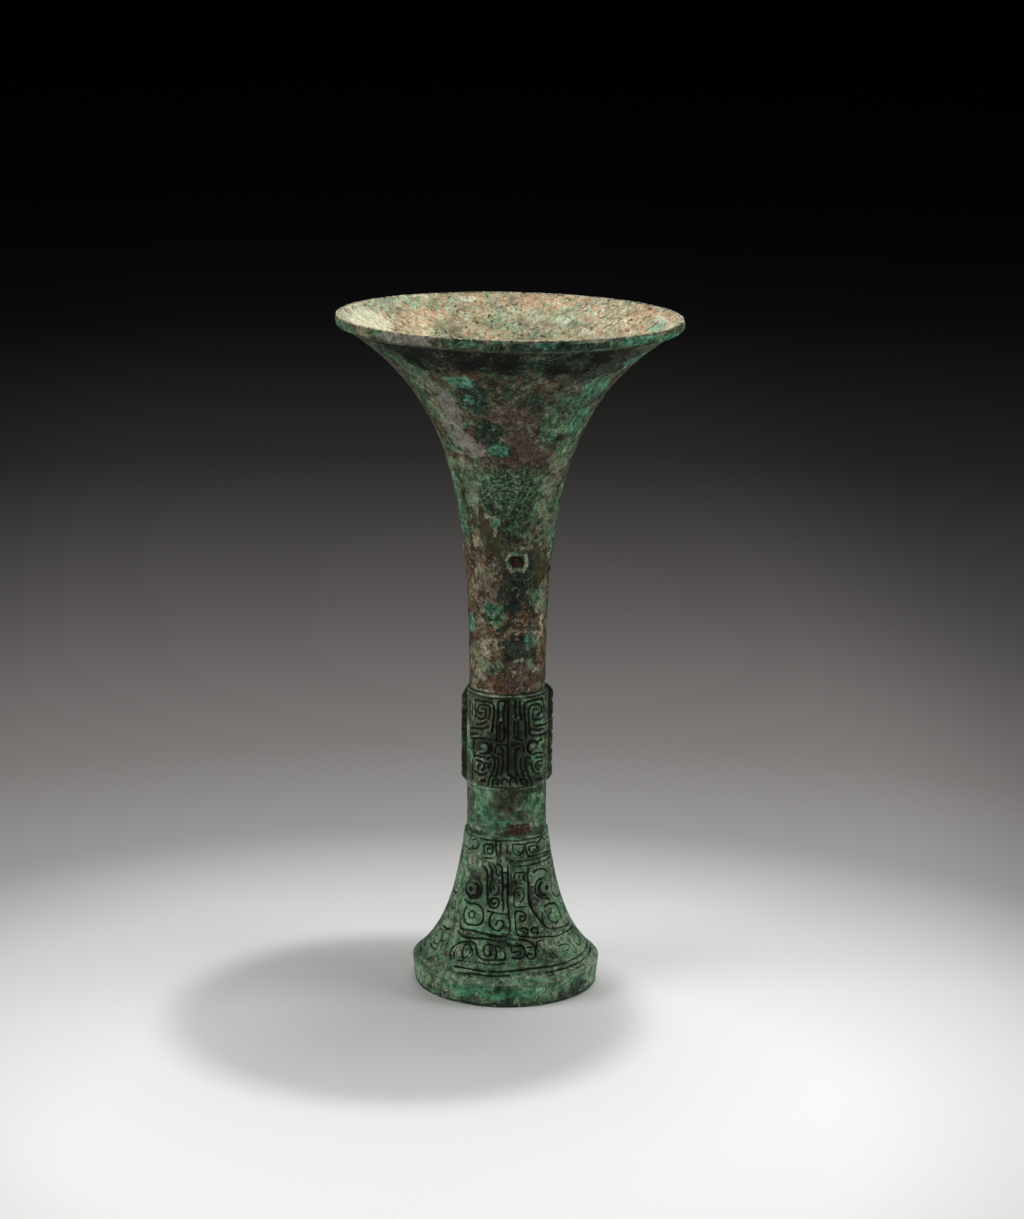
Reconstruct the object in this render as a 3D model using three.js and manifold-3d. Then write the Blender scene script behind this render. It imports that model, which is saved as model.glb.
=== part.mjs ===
// A bronze gu: a tall trumpet-mouthed beaker of the late second millennium BC.
//
// From the ground up it is a hollow splayed foot on an upright rim, a flanged knop with two
// animal masks, and a neck that opens into a wide trumpet mouth. The knop is a sleeve: the foot
// and the neck each push a spigot into it and meet its end face with a shoulder, and the floor
// of the cup is a disc held between the two spigots. Bronze chaplets, the spacers that kept the
// clay core off the mould, stand in the wall in rings of three.
//
// Millimetres, +Z up. The origin is the centre of the foot's resting plane. The masks look
// along -Y and +Y, and the flanges stand on -X and +X.
import * as THREE from "three";
import { mergeVertices } from "three/addons/utils/BufferGeometryUtils.js";
import Module from "manifold-3d";

const wasm = await Module();
wasm.setup();

// Heights of the three sections, stacked on each other
const FOOT_HEIGHT = 84; // resting plane to the underside of the knop
const KNOP_HEIGHT = 38.5;
const TRUMPET_HEIGHT = 147.5; // top of the knop to the lip

// Trumpet mouth and neck
const LIP_RADIUS = 67.4;
const LIP_EDGE = 2.4; // height of the lip's upright outer edge
const LIP_FLAT = 1.2; // width of the lip's level top
const LIP_BEVEL = 0.4;
const LIP_WALL = 2.2; // the wall thins towards the lip
const NECK_RADIUS = 15.1; // outside, where the neck leaves the knop
const NECK_STRAIGHT = 82.8; // how long the neck holds its upright line before it opens
const FLARE_REACH = 42.8; // how far inside the lip the flare starts its last sweep
const FLARE_DROP = 27; // how far below the lip's edge that sweep starts

// Knop
const KNOP_RADIUS = 16.3;
const KNOP_EDGE_RADIUS = 15.5; // outside, at the knop's two ends
const KNOP_TOP_BEVEL = 1.6; // height of the sloping shoulder above the masks
const KNOP_BOTTOM_BEVEL = 2.2;
const KNOP_LINE_INSET = 1.4; // from a bevel to the cast line that frames the masks

// Spigots and the cup's floor
const SPIGOT_RADIUS = 13.9;
const SEAT_CLEARANCE = 0.3; // all round a spigot, a flange's root and a chaplet
const BORE_RADIUS = 12.3; // inside both spigots and the neck
const FOOT_SPIGOT = 12; // how far the foot's spigot enters the knop
const FLOOR_THICKNESS = 3;

// Flanges on the knop
const FLANGE_LENGTH = 36.4;
const FLANGE_BOTTOM = 0.6; // above the knop's underside
const FLANGE_THICKNESS = 2.2;
const FLANGE_STAND = 1.9; // how far it stands out of the knop
const FLANGE_ROOT = 0.9; // how deep its slot is
const FLANGE_CORNER = 1.5; // how far its rounded corners draw the edge in
const FLANGE_SHOULDER = 4.5; // and how tall the upper one is
const FLANGE_HEEL = 2.2; // and the lower one
const NOTCH_COUNT = 5;
const NOTCH_DEPTH = 0.5;
const NOTCH_WIDTH = 1.1;

// Foot
const STEM_RADIUS = 15.8;
const BAND_TOP = 63.5; // where the cast ornament starts, above the resting plane
const BAND_STEP = 0.9; // the ornament stands this far out of the plain stem
const FOOT_WALL = 2.6;
const RIM_HEIGHT = 9.8;
const RIM_RADIUS = 37.6; // outside, at the rim's upper edge
const BASE_RADIUS = 36.6; // outside, on the resting plane
const RIM_WALL = 3.2;
const RIM_BEVEL = 0.5;
const FOOT_SPREAD_OUT = 3.2; // the first handle of the foot's curve, outwards
const FOOT_SPREAD_DOWN = 25.6; // and down
const FOOT_SWEEP_REACH = 13.2; // how far inside the rim the last sweep starts
const FOOT_SWEEP_RISE = 11.2; // and how far above it

// Cast ornament in the solid: lines that run all the way round, and the masks' eyes
const LINE_DEPTH = 0.55;
const LINE_WIDTH = 0.9;
const UPPER_LINE_HEIGHTS = [54.9, 52.6]; // under the foot's narrow band
const LOWER_LINE_HEIGHTS = [14.4, 12.7]; // above its rim
const EYE_STAND = 0.9; // how far an eye stands out of its wall
const KNOP_EYE = { azimuth: 36, height: 101, size: 1.9 }; // azimuth each side of a mask's middle
const FOOT_EYE = { azimuth: 46, height: 42, size: 2.4 };

// Chaplets, three to a ring
const CHAPLETS_PER_RING = 3;
const POCKET_DEPTH = 1.9; // a pocket stops short of the wall's inner side
const NECK_CHAPLET = { height: 175.8, azimuth: 9.3, width: 6, tall: 6, recess: 0.9 };
const STEM_CHAPLET = { height: 67, azimuth: 16.7, width: 9, tall: 4.2, recess: 0.15 };
const RIM_CHAPLET = { height: 7, azimuth: 19.5, width: 4.8, tall: 3.8, recess: 0.15 };

const ROUND_STEPS = 60;
const CURVE_STEPS = 13;

const knopBottom = FOOT_HEIGHT;
const knopTop = FOOT_HEIGHT + KNOP_HEIGHT;
const lipTop = knopTop + TRUMPET_HEIGHT;
const socketRadius = SPIGOT_RADIUS + SEAT_CLEARANCE;
const floorBottom = knopBottom + FOOT_SPIGOT;
const floorTop = floorBottom + FLOOR_THICKNESS;
const flangeMiddle = knopBottom + FLANGE_BOTTOM + FLANGE_LENGTH / 2;

const point = (radius, height) => new THREE.Vector2(radius, height);
const radians = (degrees) => THREE.MathUtils.degToRad(degrees);

// A closed outline of (radius, height) points, turned round the Z axis.
function turned(outline) {
  const closed = [...outline, outline[0].clone()];
  return new THREE.LatheGeometry(closed, ROUND_STEPS).rotateX(Math.PI / 2);
}

// A closed geometry as a solid that can be cut and joined.
function solid(geometry) {
  const bare = geometry.clone();
  bare.deleteAttribute("normal");
  bare.deleteAttribute("uv");
  const merged = mergeVertices(bare, 1e-4);
  return new wasm.Manifold(
    new wasm.Mesh({
      numProp: 3,
      vertProperties: merged.attributes.position.array,
      triVerts: new Uint32Array(merged.index.array),
    }),
  );
}

// A cut or joined solid back as a geometry.
function geometryOf(shape) {
  const { vertProperties, triVerts } = shape.getMesh();
  return new THREE.BufferGeometry()
    .setAttribute("position", new THREE.BufferAttribute(new Float32Array(vertProperties), 3))
    .setIndex(new THREE.BufferAttribute(new Uint32Array(triVerts), 1))
    .toNonIndexed();
}

// A curve's points moved off it by a wall that changes evenly from one end to the other.
// Side 1 is to the left of the curve's direction, -1 to its right.
function offset(curve, side, startWall, endWall) {
  return curve.getPoints(CURVE_STEPS).map((p, i) => {
    const share = i / CURVE_STEPS;
    const along = curve.getTangent(share);
    const wall = side * THREE.MathUtils.lerp(startWall, endWall, share);
    return point(p.x - along.y * wall, p.y + along.x * wall);
  });
}

// Where a chain of points reaches a height, as a radius.
function radiusAt(points, height) {
  const i = points.findIndex((p, k) => k > 0 && (p.y - height) * (points[k - 1].y - height) <= 0);
  const [a, b] = [points[i - 1], points[i]];
  return THREE.MathUtils.mapLinear(height, a.y, b.y, a.x, b.x);
}

// The three points that sink a V-shaped cast line into a wall, going upwards.
function castLine(height, wallRadius) {
  const half = LINE_WIDTH / 2;
  return [
    point(wallRadius(height - half), height - half),
    point(wallRadius(height) - LINE_DEPTH, height),
    point(wallRadius(height + half), height + half),
  ];
}

// A block across a wall, at an azimuth measured from -Y towards +X.
function blockAcross(innerRadius, outerRadius, width, tall, height, azimuth) {
  const block = new THREE.BoxGeometry(width, outerRadius - innerRadius, tall);
  block.translate(0, -(innerRadius + outerRadius) / 2, height);
  return block.rotateZ(radians(azimuth));
}

// The eyes of both masks: low round bosses half sunk in a wall of the given radius.
function eyes({ azimuth, height, size }, wallRadius) {
  return [-azimuth, azimuth, 180 - azimuth, 180 + azimuth].map((turn) => {
    const boss = new THREE.SphereGeometry(1, 14, 8);
    boss.scale(size, EYE_STAND, size);
    boss.translate(0, -wallRadius, height);
    return solid(boss.rotateZ(radians(turn)));
  });
}

// The trumpet: its spigot stands on the cup's floor and its shoulder on the knop.
const trumpetCurve = new THREE.CubicBezierCurve(
  point(NECK_RADIUS, knopTop),
  point(NECK_RADIUS, knopTop + NECK_STRAIGHT),
  point(LIP_RADIUS - FLARE_REACH, lipTop - LIP_EDGE - FLARE_DROP),
  point(LIP_RADIUS, lipTop - LIP_EDGE),
);
const trumpetOuter = trumpetCurve.getPoints(CURVE_STEPS);

function trumpetSolid() {
  const inner = offset(trumpetCurve, 1, NECK_RADIUS - BORE_RADIUS, LIP_WALL)
    .filter((p) => p.y > knopTop && p.y < lipTop - LIP_WALL / 2)
    .reverse();
  return solid(
    turned([
      point(BORE_RADIUS, floorTop),
      point(SPIGOT_RADIUS, floorTop),
      point(SPIGOT_RADIUS, knopTop),
      ...trumpetOuter,
      point(LIP_RADIUS, lipTop - LIP_BEVEL),
      point(LIP_RADIUS - LIP_BEVEL, lipTop),
      point(LIP_RADIUS - LIP_FLAT, lipTop),
      ...inner,
    ]),
  );
}

// The knop: a sleeve with a framing line at each end, two pairs of eyes and two slots.
function knopSolid() {
  const body = () => KNOP_RADIUS;
  let shape = solid(
    turned([
      point(socketRadius, knopBottom),
      point(KNOP_EDGE_RADIUS, knopBottom),
      point(KNOP_RADIUS, knopBottom + KNOP_BOTTOM_BEVEL),
      ...castLine(knopBottom + KNOP_BOTTOM_BEVEL + KNOP_LINE_INSET, body),
      ...castLine(knopTop - KNOP_TOP_BEVEL - KNOP_LINE_INSET, body),
      point(KNOP_RADIUS, knopTop - KNOP_TOP_BEVEL),
      point(KNOP_EDGE_RADIUS, knopTop),
      point(socketRadius, knopTop),
    ]),
  );
  for (const boss of eyes(KNOP_EYE, KNOP_RADIUS)) shape = shape.add(boss);
  for (const azimuth of [90, 270]) shape = shape.subtract(flangeSlot(azimuth));
  return shape;
}

// The slot in the knop that takes a flange's root.
function flangeSlot(azimuth) {
  const width = FLANGE_THICKNESS + 2 * SEAT_CLEARANCE;
  const tall = FLANGE_LENGTH + 2 * SEAT_CLEARANCE;
  const bottom = KNOP_RADIUS - FLANGE_ROOT;
  const top = KNOP_RADIUS + FLANGE_STAND;
  return solid(blockAcross(bottom, top, width, tall, flangeMiddle, azimuth));
}

// A flange on +X: an upright plate with rounded outer corners and notches down its edge.
function flangeGeometry() {
  const root = KNOP_RADIUS - FLANGE_ROOT;
  const edge = KNOP_RADIUS + FLANGE_STAND;
  const low = flangeMiddle - FLANGE_LENGTH / 2;
  const high = flangeMiddle + FLANGE_LENGTH / 2;
  const plate = new THREE.Shape();
  plate.moveTo(root, low);
  plate.lineTo(edge - FLANGE_CORNER, low);
  plate.quadraticCurveTo(edge, low, edge, low + FLANGE_HEEL);
  for (let i = 1; i <= NOTCH_COUNT; i++) {
    const middle = low + (i * FLANGE_LENGTH) / (NOTCH_COUNT + 1);
    plate.lineTo(edge, middle - NOTCH_WIDTH / 2);
    plate.lineTo(edge - NOTCH_DEPTH, middle);
    plate.lineTo(edge, middle + NOTCH_WIDTH / 2);
  }
  plate.lineTo(edge, high - FLANGE_SHOULDER);
  plate.quadraticCurveTo(edge, high, edge - FLANGE_CORNER, high);
  plate.lineTo(root, high);
  plate.closePath();
  const sides = { depth: FLANGE_THICKNESS, bevelEnabled: false, curveSegments: 4 };
  const flange = new THREE.ExtrudeGeometry(plate, sides);
  return flange.translate(0, 0, -FLANGE_THICKNESS / 2).rotateX(Math.PI / 2);
}

// The foot: the upright rim, the splayed part with its cast lines, the stem and its spigot.
const footCurve = new THREE.CubicBezierCurve(
  point(STEM_RADIUS + BAND_STEP, BAND_TOP),
  point(STEM_RADIUS + BAND_STEP + FOOT_SPREAD_OUT, BAND_TOP - FOOT_SPREAD_DOWN),
  point(RIM_RADIUS - FOOT_SWEEP_REACH, RIM_HEIGHT + FOOT_SWEEP_RISE),
  point(RIM_RADIUS, RIM_HEIGHT),
);
const footOuter = footCurve.getPoints(CURVE_STEPS);

function footSolid() {
  const wallRadius = (height) => radiusAt(footOuter, height);
  const lines = [...UPPER_LINE_HEIGHTS, ...LOWER_LINE_HEIGHTS];
  const outer = footOuter
    .filter((p) => lines.every((height) => Math.abs(p.y - height) > LINE_WIDTH / 2))
    .concat(lines.flatMap((height) => castLine(height, wallRadius)))
    .sort((a, b) => a.y - b.y);
  const rimBore = BASE_RADIUS - RIM_WALL;
  const inner = offset(footCurve, -1, FOOT_WALL, FOOT_WALL).filter((p) => p.x < rimBore - 1);
  let shape = solid(
    turned([
      point(BASE_RADIUS - RIM_BEVEL, 0),
      point(BASE_RADIUS, RIM_BEVEL),
      ...outer,
      point(STEM_RADIUS, BAND_TOP + BAND_STEP),
      point(STEM_RADIUS, knopBottom),
      point(SPIGOT_RADIUS, knopBottom),
      point(SPIGOT_RADIUS, floorBottom),
      point(BORE_RADIUS, floorBottom),
      point(BORE_RADIUS, BAND_TOP + 2 * FOOT_WALL),
      ...inner,
      point(rimBore, RIM_HEIGHT - FOOT_WALL),
      point(rimBore, 0),
    ]),
  );
  for (const boss of eyes(FOOT_EYE, wallRadius(FOOT_EYE.height))) shape = shape.add(boss);
  return shape;
}

// A ring of chaplets: for each one the pocket it sits in, and the chaplet itself, which stands
// on the pocket's bottom. Its face is round like the wall and lies a little under its surface.
function chapletRing({ height, azimuth, width, tall, recess }, wallRadius) {
  const bottom = wallRadius - POCKET_DEPTH;
  const top = wallRadius + POCKET_DEPTH;
  const room = 2 * SEAT_CLEARANCE;
  const faceRadius = wallRadius - recess;
  const face = new THREE.CylinderGeometry(faceRadius, faceRadius, 2 * tall, ROUND_STEPS);
  const inside = solid(face.rotateX(Math.PI / 2).translate(0, 0, height));
  return Array.from({ length: CHAPLETS_PER_RING }, (_, i) => {
    const turn = azimuth + (360 / CHAPLETS_PER_RING) * i;
    return {
      pocket: solid(blockAcross(bottom, top, width + room, tall + room, height, turn)),
      plug: solid(blockAcross(bottom, top, width, tall, height, turn)).intersect(inside),
    };
  });
}

function bronze(name, color) {
  const material = new THREE.MeshStandardMaterial({ color, metalness: 0.6, roughness: 0.6 });
  material.name = name;
  return material;
}
const greenPatina = bronze("green_patina", 0x42574a);
const darkPatina = bronze("dark_patina", 0x403e31);
const brownPatina = bronze("brown_patina", 0x513527);

const beaker = new THREE.Group();
beaker.name = "bronze_gu";

function place(name, geometry, material) {
  const mesh = new THREE.Mesh(geometry, material);
  mesh.name = name;
  beaker.add(mesh);
}

const rings = {
  neck: chapletRing(NECK_CHAPLET, radiusAt(trumpetOuter, NECK_CHAPLET.height)),
  stem: chapletRing(STEM_CHAPLET, STEM_RADIUS),
  foot_rim: chapletRing(RIM_CHAPLET, (BASE_RADIUS + RIM_RADIUS) / 2),
};
const cutBy = (shape, ring) => ring.reduce((left, { pocket }) => left.subtract(pocket), shape);

place("mouth_and_neck", geometryOf(cutBy(trumpetSolid(), rings.neck)), darkPatina);
place("knop", geometryOf(knopSolid()), greenPatina);
place("foot", geometryOf(cutBy(cutBy(footSolid(), rings.stem), rings.foot_rim)), greenPatina);

const disc = new THREE.CylinderGeometry(SPIGOT_RADIUS, SPIGOT_RADIUS, FLOOR_THICKNESS, ROUND_STEPS);
disc.rotateX(Math.PI / 2).translate(0, 0, (floorBottom + floorTop) / 2);
place("cup_floor", disc, darkPatina);

place("flange_right", flangeGeometry(), greenPatina);
place("flange_left", flangeGeometry().rotateZ(Math.PI), greenPatina);
for (const [ring, chaplets] of Object.entries(rings)) {
  chaplets.forEach(({ plug }, i) => {
    place(`${ring}_chaplet_${i + 1}`, geometryOf(plug), brownPatina);
  });
}

export default beaker;
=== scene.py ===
# %% [markdown]
# Bronze gu beaker. A gu is a slender vessel for wine, cast in leaded bronze in one pour, between a clay
# mould in sections and clay cores. After three thousand years in the ground its skin is mineral: green
# malachite, brown oxide and pale lime over a dark ground.
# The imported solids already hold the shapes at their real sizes. This lesson gives them what a photograph
# shows and a solid doesn't: sunk lines a fraction of a millimetre deep, crust, pits, wear and colour.

import math

import bpy
import numpy as np
from mathutils import Matrix, Vector


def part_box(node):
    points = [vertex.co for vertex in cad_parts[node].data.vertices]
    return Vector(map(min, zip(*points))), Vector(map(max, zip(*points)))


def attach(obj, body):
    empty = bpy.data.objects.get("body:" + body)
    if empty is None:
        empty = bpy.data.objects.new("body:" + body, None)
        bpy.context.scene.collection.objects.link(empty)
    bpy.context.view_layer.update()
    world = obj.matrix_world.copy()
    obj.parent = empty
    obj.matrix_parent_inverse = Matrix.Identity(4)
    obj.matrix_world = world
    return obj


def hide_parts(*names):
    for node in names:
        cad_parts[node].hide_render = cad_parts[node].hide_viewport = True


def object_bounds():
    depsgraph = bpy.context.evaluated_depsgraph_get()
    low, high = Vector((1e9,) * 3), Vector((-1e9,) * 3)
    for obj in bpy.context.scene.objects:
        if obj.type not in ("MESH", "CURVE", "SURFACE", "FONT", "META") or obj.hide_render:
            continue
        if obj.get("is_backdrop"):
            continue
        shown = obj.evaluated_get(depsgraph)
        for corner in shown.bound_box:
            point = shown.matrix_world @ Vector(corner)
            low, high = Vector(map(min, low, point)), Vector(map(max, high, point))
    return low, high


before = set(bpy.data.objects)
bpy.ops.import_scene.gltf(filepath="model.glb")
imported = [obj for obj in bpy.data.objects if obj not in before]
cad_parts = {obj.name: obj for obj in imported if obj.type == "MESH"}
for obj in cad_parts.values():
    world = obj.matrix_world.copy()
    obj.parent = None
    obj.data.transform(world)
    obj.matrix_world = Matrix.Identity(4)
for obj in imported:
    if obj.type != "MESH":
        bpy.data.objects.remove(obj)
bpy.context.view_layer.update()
MM = 0.001  # Blender works in metres, and every shape below is written in millimetres
print("nodes in the frame:", len(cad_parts))

# %% [markdown]
# The sections' heights and radii come from the frame, so a change in the solids carries over. A chaplet is
# a small spacer of bronze that held the clay core off the mould, and each one still shows as a patch.


# %% Sizes from the frame
def reach(node):
    """The lowest height, the highest height and the largest radius towards +Y of a solid, in mm."""
    low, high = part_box(node)
    return low.z / MM, high.z / MM, high.y / MM


def seat(node):
    """Where a chaplet sits, from its box: azimuth in degrees from -Y towards +X, height and tallness."""
    low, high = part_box(node)
    middle = (low + high) / 2 / MM
    azimuth = math.degrees(math.atan2(middle.x, -middle.y))
    return azimuth, middle.z, (high.z - low.z) / MM


KNOP_BOTTOM, KNOP_TOP, KNOP_RADIUS = reach("knop")
CUP_FLOOR, LIP_TOP, LIP_RADIUS = reach("mouth_and_neck")
SPIGOT_TOP, RIM_RADIUS = reach("foot")[1:]
CHAPLETS = {name: seat(name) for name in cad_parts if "chaplet" in name}
print("knop", KNOP_BOTTOM, "to", KNOP_TOP, "lip", LIP_TOP, "radius", LIP_RADIUS)
for name, place in CHAPLETS.items():
    print(name, [round(value, 1) for value in place])

# %% [markdown]
# Everything round is an outline turned about Z. An outline is a closed chain of (radius, height) points: up
# the outside, over the edge and down the inside. Its points are spaced evenly along it, close together
# where there is carving and wide apart where nobody looks.


# %% Outlines
def bezier(start, first, second, end, steps=300):
    """A cubic curve: each point mixes four, by (1-t)^3, 3t(1-t)^2, 3t^2(1-t) and t^3."""
    t = np.linspace(0, 1, steps)[:, None]
    mix = [(1 - t) ** 3, 3 * t * (1 - t) ** 2, 3 * t**2 * (1 - t), t**3]
    return sum(share * np.array(point) for share, point in zip(mix, (start, first, second, end)))


def walked(points):
    """The distance walked along a chain, from its first point to each point."""
    return np.concatenate([[0], np.cumsum(np.linalg.norm(np.diff(points, axis=0), axis=1))])


def respaced(points, spacing):
    """The same chain with its points an even spacing apart, and its ends kept."""
    points = np.array(points, float)
    along = walked(points)
    at = np.linspace(0, along[-1], max(2, round(along[-1] / spacing) + 1))
    return np.column_stack([np.interp(at, along, points[:, i]) for i in range(points.shape[1])])


def outline(*parts):
    """One closed outline from (points, spacing) parts. Each part starts where the last one ends."""
    return np.concatenate([respaced(points, spacing)[:-1] for points, spacing in parts])


def offset(points, wall):
    """A chain moved to its left by a wall that changes evenly along it, or to its right by one under 0."""
    along = np.gradient(points, axis=0)
    along /= np.linalg.norm(along, axis=1, keepdims=True)
    left = np.column_stack([-along[:, 1], along[:, 0]])
    return points + left * np.linspace(*wall, len(points))[:, None]


# %% [markdown]
# Turning an outline gives a grid of points: rows along the outline, columns round the axis. Because the
# outline is closed and the turn is full, the last row joins the first and the last column joins the first,
# so the skin has no open edge anywhere. Relief moves each point along the outline's own outward normal.


# %% Turn an outline
def outward(chain):
    """The outline's normal: from the point before to the point after, turned a quarter to the right."""
    along = np.roll(chain, -1, axis=0) - np.roll(chain, 1, axis=0)
    normal = np.column_stack([along[:, 1], -along[:, 0]])
    return normal / np.linalg.norm(normal, axis=1, keepdims=True)


def turned(chain, azimuths, lift):
    """Each point is the outline's point moved by its lift along the normal, then turned to its azimuth."""
    normal = outward(chain)
    lift = np.broadcast_to(lift, (len(chain), len(azimuths)))
    radius = chain[:, :1] + normal[:, :1] * lift
    height = chain[:, 1:] + normal[:, 1:] * lift
    turn = np.radians(azimuths)
    return np.stack([radius * np.sin(turn), -radius * np.cos(turn), height], axis=-1)


def around(columns):
    """Azimuths in degrees all the way round, from the left flange at -90."""
    return -90 + 360 * np.arange(columns) / columns


def front_half(azimuths):
    """The azimuths of one face, from -90 to 90 degrees."""
    return azimuths[: len(azimuths) // 2]


def both_faces(field):
    """A field of one face, repeated on the other face."""
    return np.concatenate([field, field], axis=1)


def outer_side(chain):
    """An outline's rows from its start up to its highest point: the side that is carved and crusted."""
    return chain[: int(np.argmax(chain[:, 1])) + 1]


CREASE = 40  # degrees: a sharper bend than this keeps a crisp edge


def skin(name, places, marks, replaced, material, capped=False):
    """A closed mesh from a grid of points whose columns join up, as a piece of the object.

    The rows join up too, or each end of them is capped by a flat face. marks are values at every point,
    0 where a mineral is absent and 1 or more where it covers, kept as attributes that the materials read.
    """
    rows, columns = places.shape[:2]
    row, column = np.arange(rows - capped)[:, None], np.arange(columns)[None, :]
    above, beside = (row + 1) % rows, (column + 1) % columns
    corners = [(row, column), (row, beside), (above, beside), (above, column)]
    faces = np.stack([down * columns + along for down, along in corners], axis=-1).reshape(-1, 4).tolist()
    if capped:
        faces += [list(range(columns))[::-1], list(range((rows - 1) * columns, rows * columns))]
    mesh = bpy.data.meshes.new(name)
    mesh.from_pydata((places * MM).reshape(-1, 3).tolist(), [], faces)
    for mark, values in marks.items():
        layer = mesh.attributes.new(mark, "FLOAT", "POINT")
        layer.data.foreach_set("value", np.broadcast_to(values, (rows, columns)).astype(np.float32).ravel())
    mesh.shade_smooth()
    mesh.set_sharp_from_angle(angle=math.radians(CREASE))
    mesh.materials.append(material)
    piece = bpy.data.objects.new(name, mesh)
    bpy.context.scene.collection.objects.link(piece)
    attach(piece, "root")
    for node in replaced:
        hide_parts(node)
    print(name, "faces:", len(faces))
    return piece


# %% [markdown]
# Nearly every edge on the vessel is worn soft, and three curves draw them: a smooth step, a band between
# two such steps, and a bell.


# %% Soft steps
def ease(low, high, value):
    """0 below low, 1 above high, and a smooth step 3t^2 - 2t^3 between."""
    t = np.clip((value - low) / (high - low), 0, 1)
    return t * t * (3 - 2 * t)


def band(value, rise, fall):
    """1 between two levels and 0 past them: it eases up over the rise and down again over the fall."""
    return ease(*rise, value) * (1 - ease(*fall, value))


def bell(value, middle, width):
    """A bell curve e^(-x^2), where x is the distance from its middle in widths."""
    return np.exp(-(((value - middle) / width) ** 2))


def by_azimuth(values, azimuths):
    """A value for every azimuth, from a few given ones with straight lines between."""
    return np.interp(azimuths, list(values), list(values.values()))


# %% [markdown]
# Cast and corroded bronze is never quite smooth. The lumps come from value noise: random numbers on a
# coarse 3-D lattice, blended between its corners. It is worked out at the place of each point, so the
# same lumps run on from one piece to the next.

# %% Noise
LATTICE_SIDE = 41
LATTICE_START = 200.3  # cells: keeps the vessel's axis and its base off the lattice's corners
lattice = np.random.default_rng(1).uniform(-1, 1, (LATTICE_SIDE,) * 3)


def lumps(places, size, shift=0.0):
    """Smooth lumps about size mm across, from -1 to 1: the lattice's eight nearest values, blended."""
    cell = places / size + LATTICE_START + shift
    corner = np.floor(cell).astype(int)
    share = ease(0, 1, cell - corner)
    total = np.zeros(places.shape[:-1])
    for step in np.ndindex(2, 2, 2):
        weight = np.prod(np.where(step, share, 1 - share), axis=-1)
        x, y, z = np.moveaxis((corner + step) % LATTICE_SIDE, -1, 0)
        total += weight * lattice[x, y, z]
    return total


def rough(places, size, shift=0.0):
    """Lumps of three sizes, each half as large and half as strong as the one before."""
    layers = [lumps(places, size / 2**i, shift + 7 * i) / 2**i for i in range(3)]
    return sum(layers) / 1.5


def wandering(places, level, swing, size, shift):
    """A field from 0 to 1 that wanders about a level by up to the swing, over patches of size mm."""
    return np.clip(level + swing * rough(places, size, shift), 0, 1)


# %% [markdown]
# The cast pattern is a drawing in sunk lines. A stroke is a few points in degrees from the middle of a mask
# and millimetres up, and a smooth curve goes through them. For each grid point the distance to the nearest
# stroke is measured on the unrolled surface, and the relief and the colours follow from that distance.


# %% Strokes
def through(points, steps=5):
    """A Catmull-Rom curve: it passes through every point, heading from the one before to the one after."""
    p = np.array(points, float)
    p = np.vstack([2 * p[0] - p[1], p, 2 * p[-1] - p[-2]])
    t = np.arange(steps)[:, None, None] / steps
    a, b, c, d = p[:-3], p[1:-2], p[2:-1], p[3:]
    curve = b + 0.5 * ((c - a) * t + (2 * a - 5 * b + 4 * c - d) * t**2 + (3 * b - a - 3 * c + d) * t**3)
    return np.vstack([curve.transpose(1, 0, 2).reshape(-1, 2), p[-2]])


STROKE_REACH = 1.8  # mm: further away than this a stroke has no effect
NEARLY_ZERO = 1e-9  # keeps a piece of no length from dividing by 0


def distance_to(strokes, chain, azimuths):
    """The distance in mm from each grid point to the nearest stroke, one short straight piece at a time.

    chain is the carved stretch of the outline, going up. Across, a degree counts as much as it
    measures at the stroke's own radius.
    """
    along = walked(chain)
    radii, heights = chain.T
    nearest = np.full((len(chain), len(azimuths)), STROKE_REACH)
    for stroke in strokes:
        line = through(stroke)
        radius = np.interp(line[:, 1].mean(), heights, radii)
        across = np.radians(line[:, 0]) * radius
        beyond = line[:, 1] - np.clip(line[:, 1], heights[0], heights[-1])
        up = np.interp(line[:, 1], heights, along) + beyond
        left, right = across.min() - STROKE_REACH, across.max() + STROKE_REACH
        columns = slice(*np.searchsorted(np.radians(azimuths) * radius, [left, right]))
        rows = slice(*np.searchsorted(along, [up.min() - STROKE_REACH, up.max() + STROKE_REACH]))
        x = (np.radians(azimuths[columns]) * radius)[None, :]
        y = along[rows][:, None]
        window = nearest[rows, columns]
        for x0, y0, x1, y1 in zip(across[:-1], up[:-1], across[1:], up[1:]):
            run, rise = x1 - x0, y1 - y0
            share = ((x - x0) * run + (y - y0) * rise) / (run**2 + rise**2 + NEARLY_ZERO)
            share = np.clip(share, 0, 1)
            np.minimum(window, np.hypot(x - x0 - share * run, y - y0 - share * rise), out=window)
    return nearest


BOLDNESS = 0.04  # mm: a bold line reaches this much further to each side than the usual one
FINENESS = 0.1  # mm: and a fine one this much less


def drawn(bold, fine, chain, azimuths):
    """The distance to the nearest stroke, made less for bold strokes and more for fine ones."""
    to_bold = distance_to(bold, chain, azimuths) - BOLDNESS
    to_fine = distance_to(fine, chain, azimuths) + FINENESS
    return np.minimum(to_bold, to_fine)


LINE_HALF = 0.3  # mm: half the width of a line at its floor
LINE_SHOULDER = 0.56  # mm: from its middle to where the surface is level again
LINE_DEPTH = 0.5  # mm


def cut(distance):
    """1 on a line's floor, falling smoothly to 0 at its shoulder."""
    return 1 - ease(LINE_HALF, LINE_SHOULDER, distance)


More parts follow.
